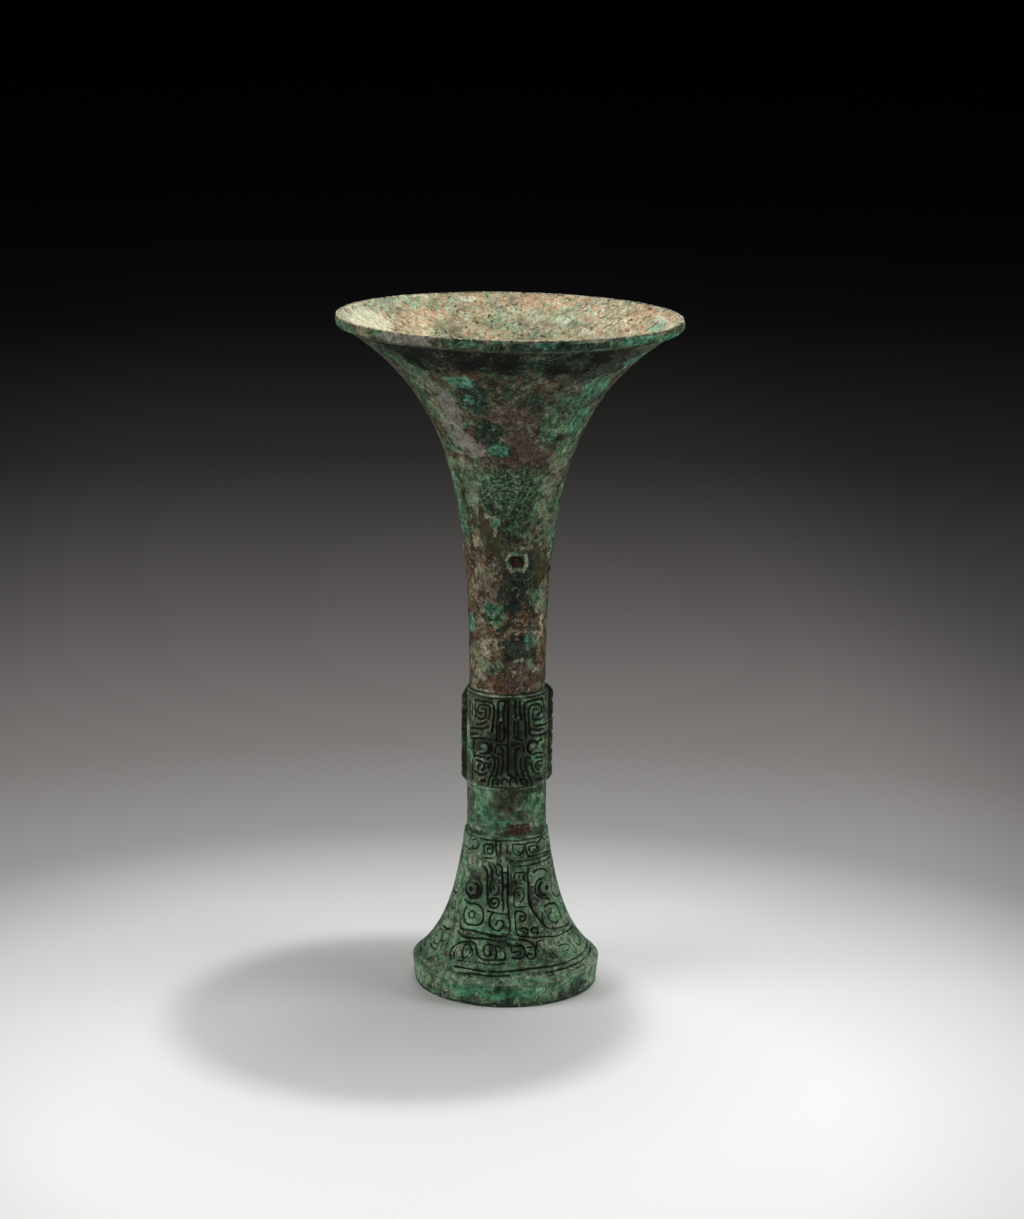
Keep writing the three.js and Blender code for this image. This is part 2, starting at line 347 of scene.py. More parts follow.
def boss(chain, azimuths, azimuth, height, size):
    """Distance in mm from a boss's middle divided by its size, on the unrolled surface."""
    along = walked(chain)
    radius = np.interp(height, chain[:, 1], chain[:, 0])
    x = (np.radians(azimuths) - math.radians(azimuth)) * radius
    y = along - np.interp(height, chain[:, 1], along)
    return np.hypot(x[None, :], y[:, None]) / size


SOCKET_SIZE = 1.3  # the disc that darkens an eye's socket, in sizes of the eye
SOCKET_DROP = 0.12  # how far down its middle lies, in sizes of the eye
SOCKET_TURN = 1.44  # and how far towards the nose, in degrees for each mm of the eye's size
SOCKET_DEPTH = 0.3  # mm


def crescent(chain, azimuths, azimuth, height, size):
    """A sickle of shadow in an eye's socket, below it and towards the nose: a larger disc less the eye."""
    nearer = azimuth - math.copysign(SOCKET_TURN * size, azimuth)
    disc = boss(chain, azimuths, nearer, height - SOCKET_DROP * size, SOCKET_SIZE * size)
    far = boss(chain, azimuths, azimuth, height, size)
    return (1 - ease(0.85, 1.05, disc)) * ease(0.9, 1.05, far)


# %% [markdown]
# The finishes come next, because each piece is made with its own. The ground colour is mottled by noise,
# and each mineral over it is a layer: it shows where a mark on the mesh plus noise passes a threshold, so
# its edge breaks up as a real crust does. The grit paints light and shade into the colour: darker hollows
# and lighter grains, standing in for light from above that rakes down the rough walls; where the skin is
# smooth, this painted shading fades.


# %% Helpers for materials
def linear(hex_colour):
    """An sRGB hex colour as linear light: ((c + 0.055) / 1.055)^2.4, or c / 12.92 near black."""
    parts = [int(hex_colour[i : i + 2], 16) / 255 for i in (1, 3, 5)]
    return [c / 12.92 if c < 0.04045 else ((c + 0.055) / 1.055) ** 2.4 for c in parts] + [1]


def add(tree, kind, inputs=(), **settings):
    """Adds a node with its settings. inputs pairs a socket's name or number with a value or an output."""
    node = tree.nodes.new(kind)
    for setting, value in settings.items():
        setattr(node, setting, value)
    for socket, value in dict(inputs).items():
        if isinstance(value, bpy.types.NodeSocket):
            tree.links.new(value, node.inputs[socket])
        else:
            node.inputs[socket].default_value = value
    return node


def noise_of(tree, place, size, detail=4.0, roughness=0.65):
    """Cloudy noise whose lumps are about size mm across, with smaller lumps on them."""
    inputs = {"Vector": place, "Scale": 1 / (size * MM), "Detail": detail, "Roughness": roughness}
    return add(tree, "ShaderNodeTexNoise", inputs).outputs["Fac"]


def spanned(tree, value, low, high, start=0.0, end=1.0, kind="SMOOTHSTEP"):
    """Takes a value from start to end as it goes from low to high."""
    spans = {0: value, 1: low, 2: high, 3: start, 4: end}
    return add(tree, "ShaderNodeMapRange", spans, interpolation_type=kind).outputs[0]


def mixed(tree, share, first, second):
    """One colour turning into another."""
    return add(tree, "ShaderNodeMix", {0: share, 6: first, 7: second}, data_type="RGBA").outputs[2]


MOTTLE = 3.0  # mm: the mottling inside each mineral
GRIT = 1.1  # mm: grains and pits
DULLNESS = 0.15  # a porous mineral skin scatters most of what a polished one would reflect
MOST_NOISE = (0.3, 0.7)  # most of the noise's values lie between these
MOST_SUMS = (0.75, 1.25)  # and most sums of two of them between these
SHADES = (0.36, 0.64)  # the noise's values at which a mineral is all dark and all light
EDGE = (0.35, 0.65)  # a mineral's edge: where its cover starts and where it is full
GRIT_SHOWS = (0.4, 0.56)  # the roughness at which the grit starts to show, and at which all of it does
GRIT_LEFT = 0.15  # the share of the grit that shows on smooth skin
CLOUDS = (0.75, 1.25)  # broad clouds darken and lighten the whole skin by these factors
LAYER_STEP = 0.31  # metres: each layer's noise is taken this much further on, so that no two agree


def patina(name, ground, layers, roughness=0.6, mottle=6.0, grain=0.12, contrast=0.5):
    """A mineral skin over bronze.

    ground is a dark and a light colour, mottled over patches of mottle mm. grain is the height of the
    grit's bumps in mm, and contrast how much the grit's painted light and shade darken the hollows and
    lighten the grains. A layer is (mark, size, spread, dark, light, roughness, thickness, strength): it
    covers a point where the mark plus noise of that size, swinging by spread, is over one half. A number as
    the mark is the same all over, and a strength under 1 leaves the layer see-through, as a veil of dust.
    """
    material = bpy.data.materials.new(name)
    material.use_nodes = True
    tree = material.node_tree
    shader = tree.nodes["Principled BSDF"]
    place = add(tree, "ShaderNodeTexCoord").outputs["Object"]
    broad = noise_of(tree, place, mottle)
    fine = noise_of(tree, place, MOTTLE, detail=5.0, roughness=0.8)
    grit = noise_of(tree, place, GRIT, detail=3.0, roughness=0.7)
    both = add(tree, "ShaderNodeMath", {0: broad, 1: fine}, operation="ADD").outputs[0]
    colour = mixed(tree, spanned(tree, both, *MOST_SUMS), linear(ground[0]), linear(ground[1]))
    rough_now = spanned(tree, fine, *MOST_NOISE, roughness - 0.03, roughness + 0.08)
    height = add(tree, "ShaderNodeMath", {0: grit, 1: grain}, operation="MULTIPLY").outputs[0]
    shade = spanned(tree, fine, *SHADES)
    for shift, (mark, size, spread, dark, light, smoothness, thickness, strength) in enumerate(layers, 1):
        moved = add(tree, "ShaderNodeVectorMath", {0: place, 1: (shift * LAYER_STEP, 0, 0)}).outputs[0]
        level = mark
        if isinstance(mark, str):
            level = add(tree, "ShaderNodeAttribute", attribute_name=mark).outputs["Fac"]
        swing = {0: noise_of(tree, moved, size), 1: 2 * spread, 2: -spread}
        swing = add(tree, "ShaderNodeMath", swing, operation="MULTIPLY_ADD").outputs[0]
        total = add(tree, "ShaderNodeMath", {0: swing, 1: level}, operation="ADD").outputs[0]
        cover = spanned(tree, total, *EDGE, 0.0, strength)
        colour = mixed(tree, cover, colour, mixed(tree, shade, linear(dark), linear(light)))
        rough_now = add(tree, "ShaderNodeMix", {0: cover, 2: rough_now, 3: smoothness}).outputs[0]
        raised = {0: cover, 1: thickness, 2: height}
        height = add(tree, "ShaderNodeMath", raised, operation="MULTIPLY_ADD").outputs[0]
    # Painted light and shade of the grit: the colour is darkened in its hollows and lightened on its grains.
    painted_grit_shading = spanned(tree, grit, *MOST_NOISE, 1 - contrast, 1 + contrast, "LINEAR")
    crusty = spanned(tree, rough_now, *GRIT_SHOWS, GRIT_LEFT)
    painted_grit_shading = add(tree, "ShaderNodeMix", {0: crusty, 2: 1.0, 3: painted_grit_shading}).outputs[0]
    cloud = spanned(tree, broad, *MOST_NOISE, *CLOUDS, "LINEAR")
    painted_grit_shading = add(tree, "ShaderNodeMath", {0: painted_grit_shading, 1: cloud}, operation="MULTIPLY").outputs[0]
    colour = add(tree, "ShaderNodeVectorMath", {0: colour, "Scale": painted_grit_shading}, operation="SCALE").outputs[0]
    tree.links.new(colour, shader.inputs["Base Color"])
    tree.links.new(rough_now, shader.inputs["Roughness"])
    shader.inputs["Specular IOR Level"].default_value = DULLNESS
    bump = add(tree, "ShaderNodeBump", {"Height": height, "Strength": 1.0, "Distance": MM})
    tree.links.new(bump.outputs[0], shader.inputs["Normal"])
    return material


# %% [markdown]
# Six finishes cover the vessel. Their colours were read off the photograph where the light is even, then
# changed by comparing renders with it, and each comment says what its mineral gives the eye.

# %% Finishes
# Malachite over cast bronze: matt green, paler where fingers and earth wore the raised parts, with brown
# earth and soot-dark clay left in the sunk lines. The knop is nearly black-green, the foot a fresher green.
# The same dark layer also paints the shadow in the eyes' sockets and the flanges' notches, and the pale wear
# layer also paints highlights where the light catches the knop's eyes and the rim's top edge.
cast_minerals = [
    ("brown", 2.6, 1.0, "#2a1f16", "#5d4a35", 0.65, 0.04, 0.75),
    ("green", 3.0, 1.0, "#224832", "#588263", 0.7, 0.04, 0.85),
    ("fresh", 3.4, 1.1, "#486f50", "#8db189", 0.7, 0.04, 0.8),
    ("teal", 2.6, 0.9, "#1c5a3c", "#62a67c", 0.65, 0.03, 0.85),
    ("olive", 3.0, 0.7, "#2f3525", "#585a43", 0.55, 0.0, 0.85),
    ("dark", 3.0, 0.8, "#10160f", "#283024", 0.55, 0.0, 0.8),
    ("wear_and_highlight", 1.8, 0.9, "#5b7259", "#97a98b", 0.55, 0.03, 0.7),
    ("pale", 1.8, 1.3, "#5f6f5a", "#a7b094", 0.8, 0.08, 0.8),
    ("bare", 2.0, 0.4, "#33433b", "#6a7a6c", 0.3, 0.0, 0.9),
    ("sunk", 0.8, 0.35, "#080a07", "#231f18", 0.85, 0.0, 0.95),
]
knop_ground, foot_ground = ("#202e23", "#536550"), ("#2f4333", "#6d8970")
malachite_on_knop = patina("malachite_on_knop", knop_ground, cast_minerals, mottle=5.0)
malachite_on_foot = patina("malachite_on_foot", foot_ground, cast_minerals, mottle=9.0, contrast=0.4)
# Oxide over smooth bronze: the neck and the flare were left plain. Dark olive-brown, with malachite in
# drifts, black-green patches, red-brown oxide, smooth pinkish grey tin oxide and cream flecks of lime.
oxide_on_plain = patina(
    "oxide_on_plain_bronze",
    ("#18180f", "#575240"),
    [
        ("brown", 3.6, 1.0, "#2e1e15", "#74523a", 0.6, 0.03, 0.9),
        ("green", 4.0, 1.1, "#264631", "#69906e", 0.7, 0.08, 0.85),
        ("violet", 6.0, 0.9, "#3a2d28", "#6b554c", 0.5, 0.0, 0.9),
        ("tan", 3.4, 1.1, "#50513d", "#969678", 0.65, 0.06, 0.65),
        ("smooth", 5.0, 1.7, "#635e55", "#948f86", 0.45, 0.0, 0.85),
        ("olive", 4.0, 0.7, "#37321f", "#4d4730", 0.4, -0.05, 1.0),
        ("dark", 3.6, 1.0, "#0e1710", "#2b4032", 0.6, 0.05, 0.9),
        ("crust", 1.3, 1.5, "#3f5c42", "#8caa83", 0.75, 0.14, 0.65),
        ("teal", 2.4, 1.3, "#1b4a38", "#6aa98a", 0.7, 0.1, 0.85),
        ("pale", 2.2, 1.5, "#7b735f", "#b9af94", 0.8, 0.12, 0.8),
        # This dark layer also paints the shade in the band under the lip.
        ("sunk", 1.2, 0.4, "#0a0c08", "#191b13", 0.85, 0.0, 1.0),
    ],
    mottle=7.0,
    contrast=0.6,
)
# Lime and tin oxide inside the mouth: chalky tan, mottled with pale green and pink, with dark pits.
lime_in_mouth = patina(
    "lime_and_tin_oxide",
    ("#776e56", "#aaa182"),
    [
        ("green", 4.0, 1.1, "#687e64", "#96a98a", 0.8, 0.05, 0.8),
        ("brown", 3.0, 1.2, "#8e6f53", "#b69473", 0.8, 0.02, 0.8),
        ("dark", 3.4, 1.1, "#656856", "#898a7b", 0.8, 0.02, 0.8),
        ("smooth", 7.0, 1.7, "#a0a48b", "#bcbea5", 0.5, 0.0, 0.85),
        ("teal", 3.0, 1.1, "#4a8770", "#8ab8a1", 0.8, 0.08, 0.8),
        ("pale", 1.6, 1.2, "#aca78b", "#c9c3a9", 0.85, 0.08, 0.75),
        ("sunk", 1.6, 1.3, "#17150d", "#3c3a28", 0.9, -0.15, 0.9),
    ],
    roughness=0.8,
    mottle=9.0,
    grain=0.25,
    contrast=0.35,
)
# Cuprite on the chaplets: red-brown copper oxide, matt, with green at its edges.
cuprite_on_chaplet = patina(
    "cuprite_on_chaplet",
    ("#21140e", "#4e3427"),
    [
        (0.25, 1.4, 1.0, "#3c5a44", "#6d8467", 0.75, 0.05, 0.9),
        (0.12, 0.8, 1.2, "#6d6247", "#9c9072", 0.75, 0.05, 0.9),
    ],
    mottle=2.0,
)
# Malachite on the rim's chaplets: they have grown a paler, brighter skin than the wall round them.
malachite_on_chaplet = patina(
    "malachite_on_chaplet",
    ("#3f7153", "#93bd9f"),
    [(0.3, 1.6, 1.2, "#24402f", "#4a7159", 0.7, 0.0, 0.8)],
    mottle=2.0,
)
print("finishes:", [material.name for material in bpy.data.materials])

# %% [markdown]
# Each mineral is placed where the real vessel has it: a patch is an ellipse in the wall, and noise
# makes its edge ragged. Elsewhere broad noise decides, so the back is as varied as the front.


# %% Patches
def turned_from(azimuth, azimuths):
    """The angle from one azimuth to others in radians, the short way round."""
    return np.radians((azimuths - azimuth + 180) % 360 - 180)


def patches(chain, azimuths, ellipses, ragged):
    """The strongest patch at each point. An ellipse is (azimuth, height, width, tallness, strength).

    Distances are measured on the wall, as shares of the half width and half tallness.
    """
    along = walked(chain)
    azimuth, height, width, tall, strength = np.array(ellipses, float).T
    across = turned_from(azimuth, azimuths[None, :, None]) * chain[:, 0][:, None, None] / (width / 2)
    up = (along[:, None, None] - np.interp(height, chain[:, 1], along)) / (tall / 2)
    cover = 1 - ease(0.7, 1.2, np.hypot(across, up) + ragged[..., None])
    return np.max(cover * strength, axis=-1)


def strengthen(marks, mark, least):
    """Raises a mark to at least this much, point by point."""
    marks[mark] = np.maximum(marks[mark], least)


def spread_out(minerals, chain, azimuths, places, change):
    """Each mineral's mark: its wandering level, or its patch where that is stronger.

    A mineral has (level below, level above, swing, size, shift) and its patches. The level passes from the
    one to the other over a change of height. It wanders by the swing over patches of size mm, and the shift
    takes it to another stretch of the noise than the other minerals.
    """
    ragged = 0.32 * rough(places, 6.0) + 0.25 * rough(places, 2.4, 4)
    above = ease(*change, chain[:, 1])[:, None]
    marks = {}
    for mineral, ((low_level, high_level, swing, size, shift), ellipses) in minerals.items():
        level = low_level + (high_level - low_level) * above
        marks[mineral] = wandering(places, level, swing, size, shift)
        strengthen(marks, mineral, patches(chain, azimuths, ellipses, ragged))
    return marks


def pocket(chain, azimuths, node, width):
    """How far each point is from a chaplet's middle, where 1 is its edge: |x|^4 + |y|^4, a soft square."""
    azimuth, height, tall = CHAPLETS[node]
    along = walked(chain)
    radius = np.interp(height, chain[:, 1], chain[:, 0])
    x = turned_from(azimuth, azimuths) * radius / (width / 2)
    y = (along - np.interp(height, chain[:, 1], along)) / (tall / 2)
    return (x[None, :] ** 4 + y[:, None] ** 4) ** 0.25


def ring_of(node_start):
    """The names of the chaplets in one ring."""
    return sorted(name for name in CHAPLETS if name.startswith(node_start))


# %% [markdown]
# The trumpet is one smooth sweep from the neck to the lip. Its curve is the solid's own: upright for the
# first half, then opening faster and faster. The lip is a narrow upright edge with a level top, and its
# inner side follows the outer at a wall that thins from 2.8 to 2.2 mm.

# %% Trumpet outline
NECK_RADIUS = 15.1
BORE_RADIUS = 12.3
SPIGOT_RADIUS = 13.9
NECK_HANDLE = 82.8  # mm up from the knop: the sweep keeps close to the neck's radius on the way there
LIP_HANDLE = (42.8, 27)  # mm in and down from the lip's edge: the direction in which the sweep arrives
LIP_EDGE = 2.4  # mm: the height of the solid's upright edge
LIP_WALL = 2.2
LIP_FLAT = 1.2
LIP_BEAD = 4.0  # mm: the casting's edge is thickened down to this far below its top
BEAD_BEND = 1.4  # mm: the height over which the wall bends out to the bead
BEAD = ((1.4, LIP_BEAD + 0.3), (0.2, LIP_BEAD - 0.5), (-0.1, 1.6), (0.3, 0.1))  # mm in and down from the top
FINE_UP_TO = 205  # mm: above it the rows are a little further apart
sweep = bezier(
    (NECK_RADIUS, KNOP_TOP),
    (NECK_RADIUS, KNOP_TOP + NECK_HANDLE),
    (LIP_RADIUS - LIP_HANDLE[0], LIP_TOP - LIP_EDGE - LIP_HANDLE[1]),
    (LIP_RADIUS, LIP_TOP - LIP_EDGE),
)
within = offset(sweep, (NECK_RADIUS - BORE_RADIUS, LIP_WALL))
within = within[within[:, 1] < LIP_TOP - LIP_WALL / 2][::-1]
under_lip = sweep[sweep[:, 1] < LIP_TOP - LIP_BEAD - BEAD_BEND]
edge = [under_lip[-1], *((LIP_RADIUS - inward, LIP_TOP - down) for inward, down in BEAD)]
lip = [edge[-1], (LIP_RADIUS - LIP_FLAT, LIP_TOP), within[0]]
half_way = int(np.argmax(sweep[:, 1] > FINE_UP_TO))
trumpet_outline = outline(
    (sweep[: half_way + 1], 0.82),
    (under_lip[half_way:], 1.1),
    (edge, 0.5),
    (lip, 0.5),
    (within, 3.0),
    ([within[-1], (BORE_RADIUS, CUP_FLOOR)], 6.0),
    ([(BORE_RADIUS, CUP_FLOOR), (SPIGOT_RADIUS, CUP_FLOOR)], 0.8),
    ([(SPIGOT_RADIUS, CUP_FLOOR), (SPIGOT_RADIUS, KNOP_TOP)], 8.0),
    ([(SPIGOT_RADIUS, KNOP_TOP), sweep[0]], 0.6),
)
trumpet_turn = around(384)
print("trumpet rows:", len(trumpet_outline), "columns:", len(trumpet_turn))

# %% [markdown]
# The outside of the trumpet carries crust: malachite swells into low lumps, lime stands in flecks, and the
# neck's chaplet has fallen in, so it is a dark hollow with a pale ring of lime round it. In these tables a
# mineral's first numbers say how it wanders everywhere, and its patches where the photograph shows it.

# %% Minerals on the trumpet
FLARE_START = (160, 190)  # mm: below it the neck is browner, above it greener
trumpet_minerals = {
    "green": ((0.14, 0.4, 0.35, 14.0, 0), [
        (-50, 257, 24, 22, 0.8), (-62, 240, 8, 24, 0.6), (34, 236, 22, 26, 0.75), (52, 222, 14, 20, 0.7),
        (47, 248, 20, 14, 0.7), (13, 200, 44, 28, 0.6), (-40, 205, 14, 18, 0.65), (-75, 196, 12, 28, 0.9),
        (42, 162, 9, 13, 0.9), (58, 160, 5, 12, 0.9), (-24, 156, 12, 16, 0.8),
        (31, 143, 7, 8, 0.9), (-30, 133, 12, 8, 0.55), (20, 134, 10, 5, 0.55), (64, 192, 7, 34, 0.85),
        (-72, 267.5, 26, 5, 0.9), (30, 267.5, 80, 5, 0.7), (80, 267, 30, 6, 0.7), (-5, 267.6, 30, 5, 0.6),
    ]),
    "crust": ((0.05, 0.1, 0.3, 9.0, 1), [
        (-5, 206, 34, 18, 0.5), (-38, 210, 8, 16, 0.55), (30, 204, 10, 20, 0.55), (34, 232, 14, 14, 0.5),
        (50, 220, 12, 14, 0.6), (-12, 221, 10, 7, 0.6), (-50, 246, 10, 12, 0.45), (48, 160, 5, 10, 0.55),
        (-26, 155, 6, 6, 0.45), (62, 190, 5, 30, 0.6), (-72, 205, 5, 30, 0.6), (48, 250, 20, 10, 0.5),
        (-76, 267.5, 14, 5, 0.55), (24, 226, 8, 8, 0.5), (5, 194, 10, 8, 0.45),
    ]),
    "teal": ((0.0, 0.08, 0.3, 10.0, 3), [
        (-27, 250, 12, 7, 0.85), (-24, 243, 9, 7, 0.55), (-12, 221.5, 10, 6, 0.75), (-67, 149, 6, 10, 0.8),
        (-28, 157, 6, 5, 0.75), (48, 246, 16, 14, 0.65), (62, 257, 16, 9, 0.7), (62, 266, 24, 6, 0.85),
        (25, 144, 3, 4, 0.6), (52, 232, 9, 20, 0.55), (42, 268, 22, 4, 0.85), (8, 268, 14, 3, 0.6),
        (-18, 268, 12, 3, 0.45),
    ]),
    "dark": ((0.2, 0.12, 0.45, 12.0, 5), [
        (-24, 244, 14, 20, 0.85), (-17, 229, 12, 12, 0.9), (-10, 222, 12, 8, 0.8), (0, 259, 130, 9, 0.85),
        (40, 254, 34, 10, 0.7), (-2, 203, 26, 24, 0.8), (2, 163, 13, 20, 0.8), (10, 141, 12, 14, 0.75),
        (20, 175, 10, 12, 0.5), (12, 167, 12, 8, 0.8), (8, 176, 9, 8, 0.7), (10, 243, 16, 8, 0.6),
        (12, 267, 60, 5, 0.65),
    ]),
    "brown": ((0.5, 0.22, 0.45, 9.0, 7), [
        (0, 217, 60, 4.5, 0.85), (-38, 216, 24, 5, 0.75), (50, 217, 24, 5, 0.75), (-68, 168, 9, 26, 1.0),
        (-72, 150, 8, 20, 0.9), (-16, 127, 14, 6, 1.0), (38, 126, 12, 10, 1.0), (60, 138, 10, 10, 0.9),
        (8, 152, 12, 16, 0.8), (-8, 138, 8, 8, 0.8), (-20, 252, 12, 8, 0.6), (15, 249, 10, 8, 0.6),
        (-38, 126, 20, 5, 0.9), (-40, 187, 5, 6, 0.7), (20, 262, 12, 2, 0.8), (12, 264, 6, 1.6, 0.7),
    ]),
    "violet": ((0.12, 0.0, 0.35, 10.0, 9), [
        (-2, 233, 22, 26, 1.1), (8, 222, 20, 10, 1.0), (10, 129, 12, 12, 0.8), (-48, 168, 10, 14, 0.7),
        (-25, 164, 12, 12, 0.65), (-5, 217.5, 66, 4.5, 1.2), (-28, 222, 14, 14, 0.9),
    ]),
    "smooth": ((0.0, 0.0, 0.1, 14.0, 11), [
        (-41, 238, 12, 18, 0.85), (-46, 227, 14, 18, 0.95), (-37, 221, 18, 8, 0.75),
        (-38, 267.8, 26, 4, 1.0), (62, 221, 5, 16, 0.5),
    ]),
    "olive": ((0.0, 0.0, 0.1, 14.0, 13), [
        (-20, 183, 10, 13, 1.0), (40, 172, 13, 15, 1.0), (-32, 190, 6, 18, 0.8), (15, 244, 12, 10, 0.5),
    ]),
    "tan": ((0.32, 0.14, 0.45, 8.0, 15), [
        (-48, 247, 14, 12, 0.9), (-55, 236, 8, 18, 0.9), (-57, 267.8, 12, 4, 1.0), (12, 249, 18, 8, 0.5),
        (-38, 202, 10, 14, 0.7), (44, 205, 12, 16, 0.7), (30, 190, 14, 12, 0.5), (-50, 136, 14, 20, 0.75),
        (-38, 168, 12, 12, 0.6), (-70, 123.5, 12, 3, 0.5), (-36, 195, 7, 30, 0.6), (-20, 142, 9, 8, 0.6),
        (5, 148, 5, 5, 0.6), (44, 190, 12, 18, 0.6), (48, 216, 14, 10, 0.9), (-47, 214, 10, 8, 0.8),
        (85, 267, 20, 5, 0.7),
    ]),
    "pale": ((0.1, 0.02, 0.3, 5.0, 17), [
        (-47, 184, 4, 7, 0.7), (56, 150, 3, 14, 0.6), (47, 156, 5, 3, 0.5), (44, 146, 5, 3, 0.55),
        (52, 145, 5, 4, 0.5), (25, 147, 8, 2, 0.5), (12, 152, 4, 4, 0.5), (-51, 170, 3, 4, 0.6),
        (-40, 142, 5, 7, 0.55), (-33, 138, 6, 4, 0.5), (-47, 130, 6, 4, 0.55), (-29, 194, 3, 3, 0.7),
        (-20, 188, 3, 4, 0.5), (45, 131, 5, 3, 0.55), (-50, 123.3, 7, 0.8, 0.6), (-24, 123.2, 6, 0.6, 0.6),
        (24, 123.2, 8, 0.5, 0.5), (180, 123.6, 30, 1.0, 0.5), (62, 176, 4, 5, 0.5),
        (15, 136, 6, 2.5, 0.55), (0, 165, 3, 3, 0.45), (26, 269.3, 9, 1.8, 1.2), (-52, 226, 3, 10, 0.4),
    ]),
}
mouth_minerals = {
    "green": ((0.42, 0.42, 0.55, 22.0, 2), [
        (-60, 250, 20, 16, 0.7), (150, 262, 20, 10, 0.8), (60, 246, 16, 12, 0.7),
    ]),
    "teal": ((0.05, 0.05, 0.45, 12.0, 6), [
        (98, 264, 12, 6, 0.8), (88, 262, 20, 3, 0.6), (45, 268, 40, 3, 0.8),
    ]),
    "dark": ((0.25, 0.25, 0.5, 16.0, 10), [(106, 265, 20, 4, 0.7), (120, 250, 20, 16, 0.6)]),
    "brown": ((0.4, 0.4, 0.55, 18.0, 4), [(170, 266, 60, 5, 0.8), (-140, 262, 30, 12, 0.7)]),
    "smooth": ((0.05, 0.05, 0.3, 16.0, 12), [
        (-97, 263, 60, 18, 0.95), (139, 258, 7, 5, 0.9), (93, 267, 40, 3, 0.8),
    ]),
    "pale": ((0.2, 0.2, 0.45, 14.0, 8), [
        (-97, 262, 66, 24, 0.6), (-70, 256, 30, 20, 0.5), (0, 270, 400, 2, 0.7),
    ]),
}

# %% [markdown]
# On the outside the crust is lifted where malachite grows, the fallen chaplets are sunk, and a band under
# the lip is painted dark as its shade, while the lip's own edge is bright. Inside, the lime is pitted,
# except where it is smooth.

# %% Trumpet
HOLLOW_WIDTH, HOLLOW_DEPTH = 6.2, 1.1  # mm: where the neck's chaplets have fallen in
LIME_RING = ((0.85, 1.0), (1.25, 1.55))  # round a hollow, in half widths from its middle
LIP_SHADE_BAND = ((249, 256), (LIP_TOP - 5.5, LIP_TOP - LIP_BEAD))  # mm: the lower and upper edge of the band of painted shade under the lip
LIP_SHADE_ROUND = {-90: 0.7, -60: 0.8, -40: 1, 30: 1, 60: 0.45, 90: 0.45, 120: 0.9}  # its share by azimuth
# The patches in the mouth where the pits are densest.
DENSE_PITS = ((-52, 262, 40, 16, 1.0), (-8, 266, 50, 8, 1.0), (130, 262, 30, 12, 0.8))
SEEN_ROWS, UNSEEN_RELIEF = 40, 0.2  # deeper in than these rows the relief has only this share left
SPIGOT_ROWS = 12  # the outline's last rows: they have the outside's finish
TILT = math.tan(math.radians(0.7))  # the mouth dips to the right by this slope
TILT_RISE = (150, 262)  # mm: the mouth's tilt grows over these heights
wall = outer_side(trumpet_outline)
outside = len(wall)
flat = turned(trumpet_outline, trumpet_turn, 0.0)
outer, inner = flat[:outside], flat[outside:]
marks = spread_out(trumpet_minerals, wall, trumpet_turn, outer, FLARE_START)
lift = np.zeros(flat.shape[:2])
hollow = np.zeros(outer.shape[:2])
for node in ring_of("neck"):
    far = pocket(wall, trumpet_turn, node, HOLLOW_WIDTH) + 0.3 * rough(outer, 2.6)
    hollow = np.maximum(hollow, 1 - ease(0.6, 1.05, far))
    lime_ring = band(far, *LIME_RING)
    uneven = wandering(outer, 0.75, 0.9, 3.0, 24)
    strengthen(marks, "crust", 1.3 * lime_ring * uneven)
    marks["pale"] *= 1 - lime_ring
    strengthen(marks, "pale", 0.62 * lime_ring * uneven)
    strengthen(marks, "dark", 1 - ease(0.8, 1.05, far))
    lift[:outside] += 0.3 * lime_ring
crust = np.clip(rough(outer, 2.2), 0, 1)
lift[:outside] += (0.35 * marks["green"] + 0.4 * marks["teal"]) * crust
lift[:outside] += 0.14 * rough(outer, 5.0) - HOLLOW_DEPTH * hollow
height = wall[:, 1][:, None]
# Painted shade: a dark band under the lip, where the flare shades the wall beneath its edge.
under = band(height, *LIP_SHADE_BAND) * by_azimuth(LIP_SHADE_ROUND, trumpet_turn)
marks["sunk"] = np.maximum(0.8 * hollow, under * (0.56 + 0.25 * rough(outer, 9.0, 19)))
bright_edge = bell(height, LIP_TOP - 0.2, 0.4) * (0.8 + 0.5 * rough(outer, 7.0, 20))
strengthen(marks, "pale", np.clip(bright_edge, 0, 1))

upward = trumpet_outline[outside:][::-1]
marks_in = spread_out(mouth_minerals, upward, trumpet_turn, inner[::-1], FLARE_START)
marks_in = {mark: values[::-1] for mark, values in marks_in.items()}
dense = 0.25 * patches(upward, trumpet_turn, DENSE_PITS, 0.3 * rough(inner[::-1], 5.0, 22))[::-1]
pits = ease(0.35, 0.6, rough(inner, 2.4, 11) + dense) * (1 - marks_in["smooth"])
marks_in["sunk"] = (0.2 + 0.3 * pits) * (1 - marks_in["smooth"])
lift[outside:] = 0.25 * rough(inner, 3.0, 13) * (1 - 0.95 * marks_in["smooth"]) - 0.3 * pits
lift[outside + SEEN_ROWS :] *= UNSEEN_RELIEF
absent = np.zeros(inner.shape[:2])
marks = {mark: np.vstack([values, marks_in.get(mark, absent)]) for mark, values in marks.items()}
trumpet_places = turned(trumpet_outline, trumpet_turn, lift)
trumpet_places[..., 2] -= TILT * trumpet_places[..., 0] * ease(*TILT_RISE, trumpet_places[..., 2])
trumpet = skin("trumpet", trumpet_places, marks, ["mouth_and_neck"], oxide_on_plain)
trumpet.data.materials.append(lime_in_mouth)
face_rows = np.repeat(np.arange(len(trumpet_outline)), len(trumpet_turn))
inside_faces = (face_rows >= outside) & (face_rows < len(trumpet_outline) - SPIGOT_ROWS)
trumpet.data.polygons.foreach_set("material_index", inside_faces.astype(np.int32))

# %% [markdown]
# The knop carries a mask on each face, drawn in sunk lines: a pair of spiral horns, a pair of round eyes, a
# long nose with curled nostrils, and jaws with fangs. The two halves were cut by hand into the mould,
# so they are alike but not mirrored.

